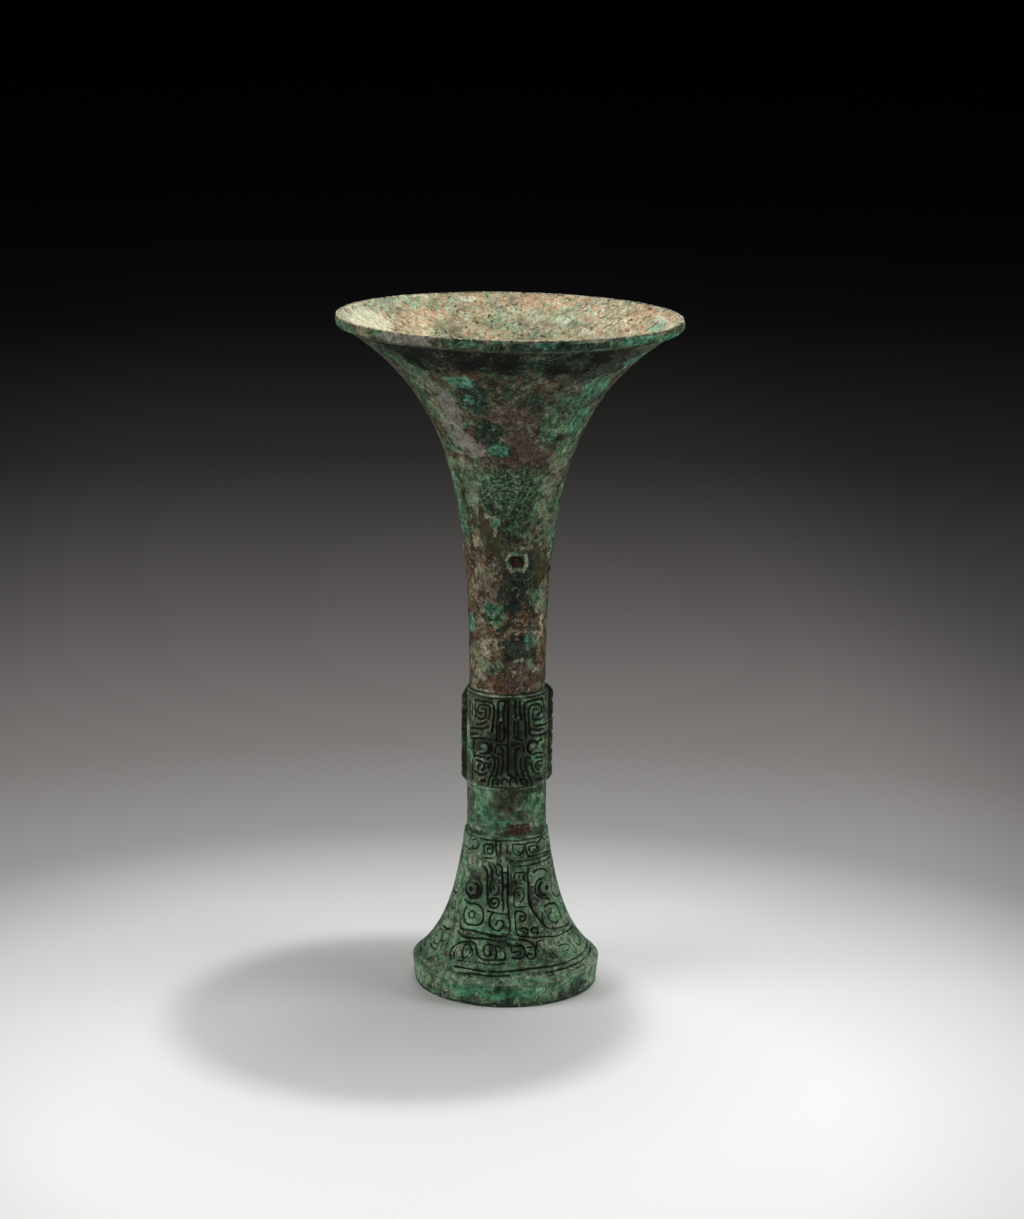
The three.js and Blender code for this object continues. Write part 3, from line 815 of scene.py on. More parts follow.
# %% Mask on the knop
# The points were picked by eye on enlarged crops of the photograph. A separate script turned them from
# pixels into degrees and mm, and this script holds what it gave, mostly rounded.
knop_right = [
    [(24, 20.3), (23.5, 25.3), (22, 30.3), (21.7, 33.8), (26, 35), (40, 35.4), (54.5, 35.1), (58, 33.7),
     (60.5, 31.4), (61, 28.5), (56, 27.1), (46, 27), (38, 27.4), (36, 28.5), (36, 30.3), (37, 31.6),
     (44, 31.4)],
    [(60.5, 22.4), (47, 22.7), (37.5, 23.3), (30.5, 24.4), (29, 27), (28.5, 31.3), (31, 33.1), (37, 33.6),
     (46, 33.3), (52.5, 32.1), (53.5, 30.9), (51.5, 29.6), (43.5, 29)],
    [(39, 25), (50.5, 24.4), (60.5, 24.1), (73.5, 24)],
    [(29, 24.3), (29.5, 22.5), (32.5, 21.2), (40.5, 20.7), (50, 20.4), (66.5, 20.2), (80, 19.8)],
    [(68.5, 31.6), (69.5, 28.1)],
    [(8.5, 36), (8, 33.2), (9, 29.4)],
    [(15, 35.8), (15, 32.4), (16, 29.9), (17.5, 28.1)],
    [(7.5, 27.2), (7.5, 22.6)],
    [(12.5, 26.9), (13, 21.5)],
    [(7.5, 21.1), (12.5, 20.4), (18.5, 19.5)],
    [(45.5, 18.2), (56.5, 18.2)],
    [(3.5, 17.8), (7, 18.3), (13, 18.4), (17.5, 17.9), (20.5, 16.7), (21, 15.2)],
    [(8.5, 15.9), (9, 12.4), (8.5, 9.1), (10, 7.4), (12, 5.5)],
    [(11.5, 15.8), (13, 16.7), (15, 16.9), (15.5, 16.1)],
    [(17, 12.2), (16.5, 9.6), (18, 7.4), (18.5, 6.1), (21.5, 5.1)],
    [(18, 7.1), (22.5, 7)],
    [(23.5, 12.4), (23.5, 9.3), (27, 6.6), (29.5, 4.6), (33, 3), (35, 1.2)],
    [(26, 12.3), (31, 12.3)],
    [(58, 12.6), (43, 13.5), (37, 13.3), (30.5, 14), (27, 15.8), (27, 17.3), (30, 18.5), (36.5, 18.6),
     (43, 18), (46, 17.1)],
    [(63, 16.2), (63, 13.6)],
    [(43.5, 11.6), (54, 11.2)],
    [(56, 9.3), (46.5, 9.6), (42, 8.8), (42.5, 7.6), (46.5, 6.5), (51.5, 6.8), (51.5, 7.8), (47.5, 8.3)],
    [(28, 9.7), (31.5, 9.7), (34, 9.1), (35, 7.5), (39, 5.9), (43.5, 5.1), (50.5, 4.6)],
    [(41.5, 2.7), (53.5, 2.5)],
    [(2, 1.4), (2, 3.3), (4, 4.4), (7, 4.7), (9.5, 3.8), (11.5, 1.8)],
    [(15.5, 3.8), (16.5, 2.8), (21, 1.5)],
    [(18.5, 3.6), (22, 3.7), (25, 3.1), (27, 2), (27, 0.8)],
    [(2, 6), (3.5, 5.2)],
    [(-1.5, 36.9), (-1.5, 21.6), (-1, 5.4)],
    [(84.6, 1.4), (84.8, 20), (84.6, 37)],
]
knop_left = [
    [(-24.5, 23), (-23, 25.5), (-22, 29.3), (-21.5, 32.4), (-23.5, 34.3), (-30, 35), (-40, 34.8),
     (-50, 34.9), (-54.5, 34.4), (-54, 31.6), (-55, 29.3), (-51, 28), (-43.5, 27.6), (-38.5, 28),
     (-34, 29), (-33.5, 30.4), (-34.5, 31.8), (-38.5, 32.1), (-42.5, 31.7)],
    [(-30.5, 28.1), (-28, 29.7), (-28, 32.2), (-29.5, 33.4), (-36, 33.6), (-41.5, 33.4), (-46.5, 32.8),
     (-49.5, 30.8), (-46, 29.9), (-41, 30.2)],
    [(-51.5, 25.2), (-46, 25.2), (-40.5, 25.7), (-36, 26.4), (-33.5, 27)],
    [(-69, 22.5), (-56, 23.2), (-43.5, 23.6), (-35, 24.3), (-30.5, 25.1)],
    [(-69, 20.1), (-56, 20.8), (-49.5, 21.3)],
    [(-61, 33), (-61.5, 28)],
    [(-68, 34.2), (-68, 29.1)],
    [(-71.5, 27.9), (-74, 26), (-69, 25.9)],
    [(-17.5, 20.1), (-17, 25.6), (-15.5, 30.7), (-15.5, 34.9), (-12.5, 35.8), (-6, 35.8), (-7, 33.2),
     (-8, 30.7), (-7.5, 27.8)],
    [(-13, 21.2), (-13, 26.7), (-9.5, 27.1), (-7, 26.4), (-6.5, 23.3), (-7.5, 20.1), (-18.5, 19.5)],
    [(-67, 18.3), (-56, 18.9), (-40.5, 19.8), (-30, 19.9), (-26, 18.5), (-23.5, 16.6), (-25.5, 15.1),
     (-30.5, 14), (-36.5, 13.6), (-45, 13.3)],
    [(-56.5, 17.6), (-57.5, 13.1)],
    [(-58.5, 12.5), (-52, 13.5)],
    [(-58.5, 11.1), (-52, 12.2), (-44.5, 12.2), (-36.5, 12.2)],
    [(-31, 11.9), (-27.5, 12.6)],
    [(-25, 12.8), (-18, 12.6)],
    [(-59, 9.8), (-60, 7), (-60, 3.1)],
    [(-52, 10.2), (-45.5, 10.3), (-39.5, 10), (-36.5, 9.1), (-37, 7.7), (-39.5, 6.9)],
    [(-47, 7.1), (-47.5, 8.2), (-43.5, 8.8)],
    [(-55, 5.6), (-49.5, 5.3), (-46.5, 4.9), (-40.5, 5), (-35, 5.4), (-32.5, 6.1)],
    [(-33.5, 10), (-29, 9.9), (-25, 9.9)],
    [(-29, 9.6), (-29.5, 8.3)],
    [(-19.5, 11.7), (-20.5, 9), (-22, 7.2), (-24, 5.6), (-28.5, 3.6), (-29.5, 1.6)],
    [(-15, 12.8), (-14.5, 9.8), (-16, 7.1), (-17.5, 5.2), (-20, 5.2)],
    [(-8.5, 14.1), (-8, 11.1), (-9, 8.5), (-11, 5.7)],
    [(-19.5, 14.9), (-19, 16.7), (-16.5, 17.7), (-12.5, 18), (-4.5, 18)],
    [(-12, 16.5), (-10.5, 16.7), (-8.5, 16), (-8.5, 15.1), (-11.5, 14.4), (-15.5, 14.4)],
    [(-23, 1.1), (-23.5, 2.5), (-21, 3.5), (-17, 3.7), (-14, 2.8), (-15, 1.9), (-18, 1.9)],
    [(-9.5, 2.1), (-9.5, 3.3), (-6.5, 4.2), (-3.5, 4), (-1, 2.9)],
    [(-41.5, 2.7), (-35, 3)],
    [(-84.6, 1.4), (-84.8, 20), (-84.6, 37)],
]
knop_mask = [np.array(stroke) + (0, KNOP_BOTTOM) for stroke in knop_right + knop_left]
print("strokes in the knop's mask:", len(knop_mask))

# %% [markdown]
# The same recipe serves every carved piece: find how far each point is from a line, sink the lines, round
# off the edges that wear, and add the unevenness of a casting. The marks come from the same distances.


# %% Carve a wall
def cast_surface(chain, azimuths, distance, bosses):
    """Relief and marks of a carved wall.

    Relief is minus the depth on a line's floor, a soft rounding beside it, and the height of each boss as
    the top of a ball. A line is cut wider and deeper here, narrower and fainter there. The pale wear mark it
    returns is only wear, a narrow band beside each line; on the knop's eyes and the rim the same mark also
    holds painted highlights.
    """
    flat = turned(chain, azimuths, 0.0)
    wavy = distance + 0.08 * rough(flat, 1.1, 17) + 0.13 * rough(flat, 5.0, 18)
    sunk = cut(wavy) * wandering(flat, 0.85, 0.3, 6.0, 19)
    lift = -LINE_DEPTH * sunk - 0.12 * bell(distance, 0, 0.8)
    lift += 0.08 * rough(flat, 4.0, 21) + 0.03 * rough(flat, 1.3, 23)
    bare = np.zeros(flat.shape[:2])
    for far, height in bosses:
        lift = np.maximum(lift, lift * ease(0.9, 1.1, far) + height * np.sqrt(np.clip(1 - far**2, 0, 1)))
        bare = np.maximum(bare, 1 - ease(0.75, 1.0, far))
        sunk = sunk * ease(0.85, 1.05, far)
        lift -= 0.4 * band(far, (0.85, 1.05), (1.25, 1.55))
    wear_and_highlight = band(wavy, (0.5, 0.8), (0.9, 1.6)) * wandering(flat, 0.35, 0.8, 5.0, 25)
    return lift, {"sunk": sunk, "wear_and_highlight": wear_and_highlight, "bare": bare}


def ring_distance(chain, heights, finer):
    """The distance in mm up the wall to the nearest ring, made more by as much as the ring is finer."""
    along = walked(chain)
    at = np.interp(heights, chain[:, 1], along)
    return np.min(np.abs(along[:, None] - at), axis=1)[:, None] + finer


def completed(chain, azimuths, lift, marks):
    """Places and marks of a whole outline, from the relief and marks of its carved rows.

    The other rows are plain: nobody sees them.
    """
    plain = np.zeros((len(chain) - len(lift), len(azimuths)))
    marks = {mark: np.vstack([values, plain]) for mark, values in marks.items()}
    return turned(chain, azimuths, np.vstack([lift, plain])), marks


# %% [markdown]
# The knop is a sleeve round the two spigots. Two fine lines with a bead of pale crust between them mark its
# upper end, where the real mould's sections met, and one line its lower end.

# %% Minerals on the knop
knop_minerals = {
    "green": ((0.25, 0.25, 0.4, 7.0, 27), [
        (50, 104, 10, 12, 0.5), (46, 96, 10, 8, 0.55), (45, 116, 14, 6, 0.6),
        (12, 119.5, 12, 3, 0.7), (-72, 105, 5, 34, 0.6), (-45, 118, 12, 4, 0.6),
        (-62, 106, 8, 4, 0.6), (22, 108, 3, 10, 0.5), (-15, 117, 3, 8, 0.6), (45, 88, 12, 6, 0.4),
        (-30, 96, 6, 4, 0.5), (70, 100, 6, 30, 0.4),
        (200, 110, 10, 16, 0.7), (150, 98, 12, 10, 0.7), (120, 112, 8, 16, 0.6), (240, 100, 8, 20, 0.6),
    ]),
    "brown": ((0.12, 0.12, 0.4, 6.0, 29), [
        (-48, 108.5, 8, 4, 0.7), (84, 103, 3, 40, 0.9), (-40, 87, 14, 5, 0.7), (-3, 100, 3, 36, 0.6),
        (2, 118, 8, 5, 0.5), (160, 112, 8, 8, 0.7), (210, 94, 9, 8, 0.6), (-28, 120.2, 18, 1.0, 0.9),
        (66, 95, 6, 16, 0.6),
    ]),
    "olive": ((0.15, 0.15, 0.4, 7.0, 30), [
        (-45, 112, 17, 18, 1.0), (-40, 105, 14, 4, 0.8), (-12, 110, 5, 18, 0.5), (-50, 91, 14, 10, 0.7),
        (135, 112, 14, 16, 0.8), (225, 110, 12, 14, 0.7), (-62, 120, 10, 3, 0.8),
    ]),
    "fresh": ((0.0, 0.0, 0.3, 6.0, 26), [
        (-42, 114, 15, 12, 0.5), (-58, 100, 10, 30, 0.4), (54, 100, 12, 26, 0.45), (140, 108, 14, 20, 0.4),
        (230, 104, 14, 24, 0.4),
    ]),
    "teal": ((0.05, 0.05, 0.3, 6.0, 28), [
        (45, 96, 9, 4, 0.5), (50, 101, 4, 3, 0.4), (44, 119, 10, 2, 0.5), (-74, 100, 2.5, 20, 0.5),
        (-20, 119.5, 10, 2, 0.5), (150, 100, 9, 5, 0.6), (215, 115, 6, 6, 0.5), (-28, 93, 5, 4, 0.4),
    ]),
    "dark": ((0.2, 0.2, 0.3, 7.0, 32), [
        (0, 105, 18, 36, 0.95), (20, 95, 7, 18, 0.6), (-22, 94, 6, 14, 0.6), (34, 87, 16, 4, 0.6),
        (180, 104, 17, 34, 0.8), (38, 109, 6, 8, 0.5), (-52, 100.4, 9, 5, 1.0), (62, 104, 8, 34, 0.5),
    ]),
    "pale": ((0.0, 0.0, 0.25, 5.0, 31), [
        (-61, 113, 3, 7, 0.7), (-75, 106, 3, 9, 0.8), (-70, 102, 4, 6, 0.7), (45, 98, 9, 3, 0.25),
        (-32, 121.7, 14, 1.1, 1.0), (-8, 121.7, 8, 0.9, 0.8), (38, 121.7, 8, 0.8, 0.6),
        (170, 121.7, 18, 1.0, 0.7), (-64, 85, 8, 2, 0.6), (-58, 117, 4, 3, 0.4),
    ]),
}

# %% Knop
KNOP_END_RADIUS = 15.5
KNOP_FOOT_RADIUS = 16.0
SOCKET_RADIUS = 14.2
LOWER_BEVEL, UPPER_BEVEL = 2.2, 1.6
EYE_HEIGHT, EYE_SIZE, EYE_RISE = KNOP_BOTTOM + 16.4, 1.9, 1.1
GLINTS = {-36: -34, 36: 33}  # degrees: each eye's azimuth, and where the light catches it
GLINT_HEIGHT, GLINT_SIZE = KNOP_BOTTOM + 17.2, 1.1
EYE_SHADE_TURN, EYE_SHADE_HEIGHT, EYE_SHADE_SIZE = -3, KNOP_BOTTOM + 15.4, 1.5  # painted shade on the lower left of each eye
NOSE = (4, 94, 24, 26, 1.0)  # a patch where the lines' edges are less worn
SAG = {-90: 1.6, -60: 1.3, -20: 0, 30: 0, 90: 0.9, 150: 0, 210: 0, 270: 1.6}  # mm the lower end hangs down
knop_corners = {
    "lower": (KNOP_FOOT_RADIUS, KNOP_BOTTOM),
    "bevel": (KNOP_RADIUS + 0.1, KNOP_BOTTOM + LOWER_BEVEL),
    "shoulder": (KNOP_RADIUS, KNOP_TOP - UPPER_BEVEL),
    "upper": (KNOP_END_RADIUS, KNOP_TOP),
    "socket_top": (SOCKET_RADIUS, KNOP_TOP),
    "socket_bottom": (SOCKET_RADIUS, KNOP_BOTTOM),
}
starts = list(knop_corners.values())
ends = starts[1:] + starts[:1]
spacings = (0.24, 0.21, 0.24, 0.6, 6.0, 0.6)
knop_outline = outline(*(((start, end), gap) for start, end, gap in zip(starts, ends, spacings)))
knop_turn = around(512)
face = front_half(knop_turn)
chain = outer_side(knop_outline)
knop_rings = (KNOP_TOP - 0.1, KNOP_TOP - UPPER_BEVEL, KNOP_BOTTOM + 0.2)
distance = both_faces(distance_to(knop_mask, chain, face)) - BOLDNESS
distance = np.minimum(distance, ring_distance(chain, knop_rings, finer=0.2))
eyes = [both_faces(boss(chain, face, eye, EYE_HEIGHT, EYE_SIZE)) for eye in GLINTS]
lift, marks = cast_surface(chain, knop_turn, distance, [(far, EYE_RISE) for far in eyes])
flat = turned(chain, knop_turn, 0.0)
marks |= spread_out(knop_minerals, chain, knop_turn, flat, (KNOP_BOTTOM, KNOP_TOP))
marks["wear_and_highlight"] *= 1 - 0.6 * both_faces(patches(chain, face, [NOSE], np.zeros((1, 1))))
for eye, lit in GLINTS.items():
    # Painted highlight where the light catches each eye, put into the pale layer that elsewhere marks wear.
    glint = both_faces(boss(chain, face, lit, GLINT_HEIGHT, GLINT_SIZE))
    strengthen(marks, "wear_and_highlight", 1.7 * (1 - ease(0.2, 1.0, glint)))
    # Painted shade: on each eye's lower left the bare skin's lighter colour is taken away.
    eye_shade = both_faces(boss(chain, face, eye + EYE_SHADE_TURN, EYE_SHADE_HEIGHT, EYE_SHADE_SIZE))
    marks["bare"] *= ease(0.3, 1.1, eye_shade) * ease(0.2, 1.0, glint)
    socket = both_faces(crescent(chain, face, eye, EYE_HEIGHT, EYE_SIZE))
    strengthen(marks, "sunk", socket)
    lift -= SOCKET_DEPTH * socket
knop_places, marks = completed(knop_outline, knop_turn, lift, marks)
low_end = 1 - ease(KNOP_BOTTOM, KNOP_BOTTOM + 7, knop_places[..., 2])
knop_places[..., 2] -= by_azimuth(SAG, knop_turn) * low_end
skin("knop_sleeve", knop_places, marks, ["knop"], malachite_on_knop)

# %% [markdown]
# The foot has a narrow band of square spirals under the plain stem, a second and larger mask below it, and a
# band of long curls above the rim. Each is drawn in the same way as the knop's mask.

# %% Bands on the foot
# The points were picked by eye on an enlarged crop of the photograph. A separate script turned them from
# pixels into degrees and mm, and nearly all of them are here as it printed them.
narrow_band = [
    [(-71, 59.3), (-71.5, 57.7), (-65, 56.9), (-58.5, 57)],
    [(-55.5, 61), (-49.5, 61.8), (-44.5, 61), (-43, 59.5), (-46.5, 58.3), (-51, 57.6), (-54.5, 58),
     (-53.5, 59)],
    [(-31.5, 56.5), (-33.5, 57.8), (-34, 60.2), (-23, 60.9), (-21, 59.7), (-21.5, 57.4), (-28.5, 57.4),
     (-29, 59.1), (-24.5, 59.2)],
    [(-17, 61.5), (-16.5, 58.4), (-13.5, 55.8)],
    [(-10.5, 61.3), (-10.5, 57.7)],
    [(-2.5, 61.7), (-1.5, 60.4), (-2, 58.1)],
    [(23, 60.8), (7, 61.2), (6, 60.2), (7, 57.8), (14, 56.8), (19.5, 58.2), (20.5, 59.9)],
    [(29, 55.5), (25, 57.5), (25, 61.1), (42.5, 60.7), (44.5, 59.1), (46.5, 57.4)],
    [(46, 57.2), (33, 57.2), (29.5, 58.2), (30, 59.6), (40.5, 59.6), (41, 58), (35, 58)],
    [(45.5, 60.6), (56.5, 61.7), (61, 60), (58.5, 58), (50.5, 56.9)],
    [(69, 60.6), (78, 60.3), (84.5, 57.4), (69.5, 57.2), (67.5, 58.6)],
    [(26.5, 55.7), (41, 55.6), (60.5, 55.4), (87, 53.7)],
    [(-34.5, 55.3), (-28, 55.3), (-20.5, 55.5)],
]
foot_bold = [
    [(-32, 51.8), (-27, 50.2), (-25.5, 45.8), (-23.5, 39.9), (-20.5, 37), (-15.5, 36.2), (-11.5, 37),
     (-10.5, 38.9), (-12.5, 39.9), (-18.5, 39.7), (-19.5, 38.5), (-16.5, 37.7), (-14, 38.3)],
    [(-8.5, 50.6), (-7, 47.6), (-6.5, 44.1), (-7, 40.7), (-5.5, 38.1), (-6, 35.2)],
    [(-22, 34.9), (-16.5, 34.6), (-7.5, 34.2), (-1.5, 34.1)],
    [(-16.5, 34.5), (-19, 32.4), (-18.5, 29.7), (-14.5, 28.3), (-9, 28), (-5.5, 29.4), (-5, 30.8),
     (-8, 31.7), (-11, 31.4), (-12.5, 30)],
    [(-53, 37.1), (-44.5, 36.5), (-35, 36.7), (-28.5, 35.4), (-26, 32.7), (-26.5, 30.5), (-30, 29.3),
     (-37, 28.8), (-44, 28.9), (-48.5, 30.5), (-50, 32.9), (-48, 34.8)],
    [(-74, 32.5), (-75.5, 29.5), (-73.5, 27.9)],
    [(-76, 24.1), (-65.5, 24.2), (-62, 24.7)],
    [(-40, 47.1), (-34, 45), (-31.5, 42.5), (-33, 40.3), (-39, 38.7), (-46.5, 38.8), (-52.5, 39.9),
     (-55.5, 42.1), (-54, 44.3)],
    [(21, 49.3), (19, 47.8), (20.5, 46.2)],
    [(23.5, 49.4), (24, 45.6), (23, 40.9), (24, 36.5), (27, 33.8), (31.5, 31.3), (34.5, 29), (39, 27.1)],
    [(47, 46), (37.5, 45.6), (33, 43.5), (33, 40.8), (39.5, 38.7), (51, 37.4)],
    [(33, 49.3), (39.5, 49.9), (49, 49.5), (56, 48)],
    [(42, 35.2), (49, 35.6), (58.5, 34.9), (63.5, 33.3), (63, 30.8), (63, 28.5)],
    [(-1, 52.8), (-0.5, 47.6), (-1, 40.7), (-0.5, 35.2), (1, 31), (0.5, 27.7), (-2, 26.1), (-11.5, 25.8),
     (-24, 26.4), (-35.5, 26.9), (-46.5, 26.5), (-52, 28.4), (-51.5, 30.2)],
    [(-50.5, 25.3), (-44, 24), (-32.5, 24.2), (-22.5, 24.6), (-11.5, 24.1), (-2.5, 23.7)],
    [(-46.5, 15.8), (-49.5, 17.5), (-48.5, 20), (-42.5, 22), (-35, 22.8), (-29.5, 22.3), (-26.5, 20.3),
     (-24, 18.5), (-19, 17.5), (-11.5, 17.6), (-3.5, 17.9)],
    [(-10.5, 18), (-10.5, 20.4), (-13, 22.3), (-17.5, 22.8), (-21, 21.8), (-20.5, 19.9), (-17.5, 18.8),
     (-14.5, 19.5), (-15.5, 20.6)],
    [(-1.5, 22.9), (4, 22.4), (10.5, 22.4), (13, 20.7), (11.5, 18.8), (8, 18.2), (2.5, 18.4)],
    [(9, 24.8), (16.5, 23.8), (20.5, 22.5), (21.5, 20.3), (20, 18.2), (16.5, 17.7), (14, 18.5),
     (15.5, 19.5), (18, 19.2)],
    [(-40, 13.8), (-28.5, 14), (-15.5, 13.8), (1, 14.2), (10.5, 14.5), (27.5, 14.6)],
    [(-35.5, 12.2), (-23.5, 12.7), (-15, 12.5), (-0.5, 12.8)],
]
foot_fine = [
    [(-3.5, 17.9), (-3.5, 19.7), (-5.5, 21.4), (-9, 22.3), (-11, 22.1)],
    [(-35, 16.6), (-38.5, 18.6), (-39, 20.8), (-36, 21.9), (-32.5, 21.2), (-32, 19), (-34, 17.2)],
    [(-31.5, 17.3), (-29.5, 18.6), (-30.5, 20.5)],
    [(-45, 20), (-46, 17.9), (-43.5, 16.2)],
    [(-25, 16.7), (-19, 16.2), (-11.5, 16.1), (-3.5, 16.6)],
    [(-39.5, 15.8), (-30, 16.3)],
    [(1.5, 22), (2, 20.3), (7, 20.5), (9.5, 20.1), (7.5, 19.2)],
    [(15, 21.7), (19.5, 21.5)],
    [(29, 23.5), (24.5, 23), (23, 21.3), (24.5, 19.7)],
    [(33.5, 18.3), (35, 16.5)],
    [(36, 18.6), (38, 16.4)],
    [(44.5, 19.8), (48.5, 20), (56, 19.2), (56.5, 17.4), (57, 16)],
    [(59, 21), (61, 19), (62.5, 17.3)],
    [(69, 20.7), (67.5, 18.3), (68.5, 17), (75, 16.9), (78, 19.1)],
    [(85, 18.7), (83, 16.9), (80, 15.6)],
    [(45.5, 17.7), (52.5, 17.6)],
    [(-77, 20.2), (-80, 18.9), (-75.5, 17.6), (-69, 18.1), (-67, 20.1), (-71, 22.2), (-77, 22.6),
     (-81.5, 21)],
    [(-81, 16.3), (-69, 16.1), (-66, 16.7)],
    [(-58.5, 23), (-57.5, 20.6), (-56, 17.5), (-56.5, 15.9)],
    [(-62, 20.8), (-62, 18.7), (-61.5, 16.7)],
    [(20, 24.9), (33.5, 24.4), (48.5, 23.3), (61, 23.2), (83, 22.7)],
    [(72, 23), (80, 22.6), (83, 20), (80, 17.6), (74, 17.6)],
    [(-64, 20), (-68, 19), (-67, 17)],
    [(-2, 26), (1.5, 25.1), (4.5, 24.5)],
    [(-25.5, 53.2), (-21, 51.2), (-20.5, 49.1), (-20, 47)],
    [(-20, 53.4), (-15.5, 51.8), (-15, 49.6), (-11.5, 48.8)],
    [(-14.5, 53.5), (-8.5, 52.4), (-7, 50.6)],
    [(-21.5, 46), (-20.5, 43), (-18.5, 41.5), (-13.5, 41.4), (-11, 42.8), (-11.5, 44.6)],
    [(-18, 45), (-17, 43.5)],
    [(-7, 50), (-1.5, 50.1)],
    [(-6.5, 44.7), (-1, 44.9)],
    [(-35.5, 33.4), (-39.5, 33.8), (-43, 32.9), (-42, 31.5), (-38.5, 31.3), (-36, 32.2), (-37, 32.9)],
    [(-59.5, 36.3), (-61, 34), (-58, 31.7)],
    [(-69.5, 35), (-65, 31.8), (-60.5, 28.8)],
    [(20, 49.8), (8.5, 49.8), (7.5, 47.5), (8, 46), (15.5, 45.6)],
    [(13, 48.8), (13, 46.9), (17.5, 47.1), (18, 48.6)],
    [(17.5, 43.7), (10, 43.8), (6.5, 41.9), (6, 37.2), (11.5, 36.5), (18.5, 36.6)],
    [(11, 42.4), (11.5, 41.2), (13, 40.8)],
    [(17, 43.1), (18, 40.8), (15.5, 39.1), (12.5, 38.2)],
    [(18.5, 25.3), (10, 25.8), (7, 27.2), (6.5, 30.5), (7, 34.6), (13.5, 34.8), (17, 33.8), (17, 32.2),
     (13.5, 31), (11, 32), (12.5, 33.2), (15, 32.8)],
    [(10.5, 28), (13, 28.7), (16.5, 28.4), (18, 27), (15.5, 26)],
    [(13, 27.6), (14, 26.8)],
    [(27.5, 28), (23, 28.3), (21, 27.2), (22.5, 26.3)],
    [(28, 27.5), (27, 26.1), (25, 26.7)],
    [(49, 32.4), (44, 31.4), (45.5, 29.3), (52.5, 27.9), (58.5, 28.3)],
    [(37, 33.1), (35.5, 30.2), (39, 27.5), (46, 26.2), (57.5, 25.5), (75.5, 24.6)],
    [(60.5, 50.4), (61, 45), (59, 39.8), (67, 36.6), (85, 36)],
    [(78.5, 49.2), (74.5, 43.6), (83.5, 37.9)],
    [(25.5, 51.7), (25, 49.3)],
    [(-62, 50.5), (-63, 46.5), (-66, 41.5), (-72, 38), (-84, 37.5)],
    [(-66, 32.4), (-73, 31.8), (-77, 33.5)],
    [(71, 33), (79, 32), (80, 29.6), (72, 29)],
    [(-75, 50), (-76, 44), (-84, 41.5)],
]
UPPER_RINGS = (62.6, 54.3, 52.4)  # mm: over the narrow band, and the two lines under it
LOWER_RINGS = (14.3, 12.7)  # mm: the two lines over the rim
SEAM = 26.3  # mm: the line where the mask's register meets the curls'
print("strokes on the foot:", len(narrow_band + foot_bold + foot_fine))

# %% [markdown]
# The foot is one casting, and its fine lines need a fine grid. It is drawn as three closed skins that meet
# in cast lines: the plain stem, the mask's register and the curls' register with the rim.

# %% Foot outline
STEM_RADIUS = 15.8
BAND_STEP = 0.9  # mm: how far the patterned flare stands out from the plain stem
BAND_TOP = 63.5
FOOT_WALL = 2.6
RIM_HEIGHT = 9.8  # mm: the top of the upright rim, where the foot is widest
BASE_RADIUS = 36.6
RIM_BORE = 33.4
BAND_HANDLE = (3.2, 25.6)  # mm out and down from the band's top: the direction in which the flare leaves it
RIM_HANDLE = (13.2, 11.2)  # mm in and up from the rim: the direction in which the flare arrives
spread = bezier(
    (STEM_RADIUS + BAND_STEP, BAND_TOP),
    (STEM_RADIUS + BAND_STEP + BAND_HANDLE[0], BAND_TOP - BAND_HANDLE[1]),
    (RIM_RADIUS - RIM_HANDLE[0], RIM_HEIGHT + RIM_HANDLE[1]),
    (RIM_RADIUS, RIM_HEIGHT),
)
hollow_side = offset(spread, (-FOOT_WALL, -FOOT_WALL))
hollow_side = hollow_side[hollow_side[:, 0] < RIM_BORE - 1]
spread = spread[::-1]


def stretch(line, low, high):
    """The part of a chain between two heights, going up, with its ends put exactly on them."""
    order = np.argsort(line[:, 1])
    ends = np.array([[np.interp(h, line[order, 1], line[order, 0]), h] for h in (low, high)])
    between = line[(line[:, 1] > low) & (line[:, 1] < high)]
    return np.vstack([ends[:1], between[np.argsort(between[:, 1])], ends[1:]])


# %% Minerals on the foot
FOOT_LINES = 0.88  # how full of shadow the foot's lines are: they are worn softer than the knop's
FOOT_RIM = (9.4, 10.4)  # mm: below it the levels are the rim's, above it the body's
stem_minerals = {
    "green": ((0.3, 0.35, 0.45, 7.0, 39), [
        (-48, 76, 14, 18, 0.8), (-25, 70, 10, 9, 0.7), (42, 77, 12, 12, 0.8), (62, 72, 8, 18, 0.6),
    ]),
    "fresh": ((0.1, 0.1, 0.3, 6.0, 46), [
        (-44, 76, 10, 12, 0.55), (48, 77, 12, 10, 0.55), (-60, 66, 12, 3, 0.6), (56, 68, 8, 6, 0.5),
    ]),
    "teal": ((0.05, 0.05, 0.4, 6.0, 44), [
        (-38, 74, 5, 8, 0.5), (-8, 70, 7, 3, 0.6), (58, 76, 8, 6, 0.5),
    ]),
    "olive": ((0.15, 0.15, 0.4, 7.0, 40), [
        (-5, 78, 15, 13, 1.0), (-68, 78, 8, 12, 0.7), (20, 72, 10, 5, 0.6),
    ]),
    "dark": ((0.25, 0.25, 0.45, 7.0, 42), [
        (-5, 77.5, 12, 12, 0.45), (10, 65, 20, 3, 0.8), (-60, 64.5, 20, 3, 0.7), (22, 72, 7, 8, 0.5),
        (45, 65, 16, 4, 0.8), (30, 82.5, 26, 2.4, 0.7),
    ]),
    "brown": ((0.12, 0.12, 0.4, 7.0, 41), [
        (-83, 79, 5, 12, 0.9), (-75, 71, 4, 8, 0.6), (-55, 82.6, 22, 1.6, 0.9), (12, 67, 13, 5, 0.6),
        (30, 66.5, 9, 4, 0.4), (-15, 83, 16, 1.2, 0.6),
    ]),
    "pale": ((0.02, 0.02, 0.35, 4.0, 43), [
        (-55, 66, 10, 3, 0.5), (-66, 82, 10, 1.4, 0.6), (38, 68, 7, 3, 0.4), (-8, 69, 5, 2, 0.6),
    ]),
}
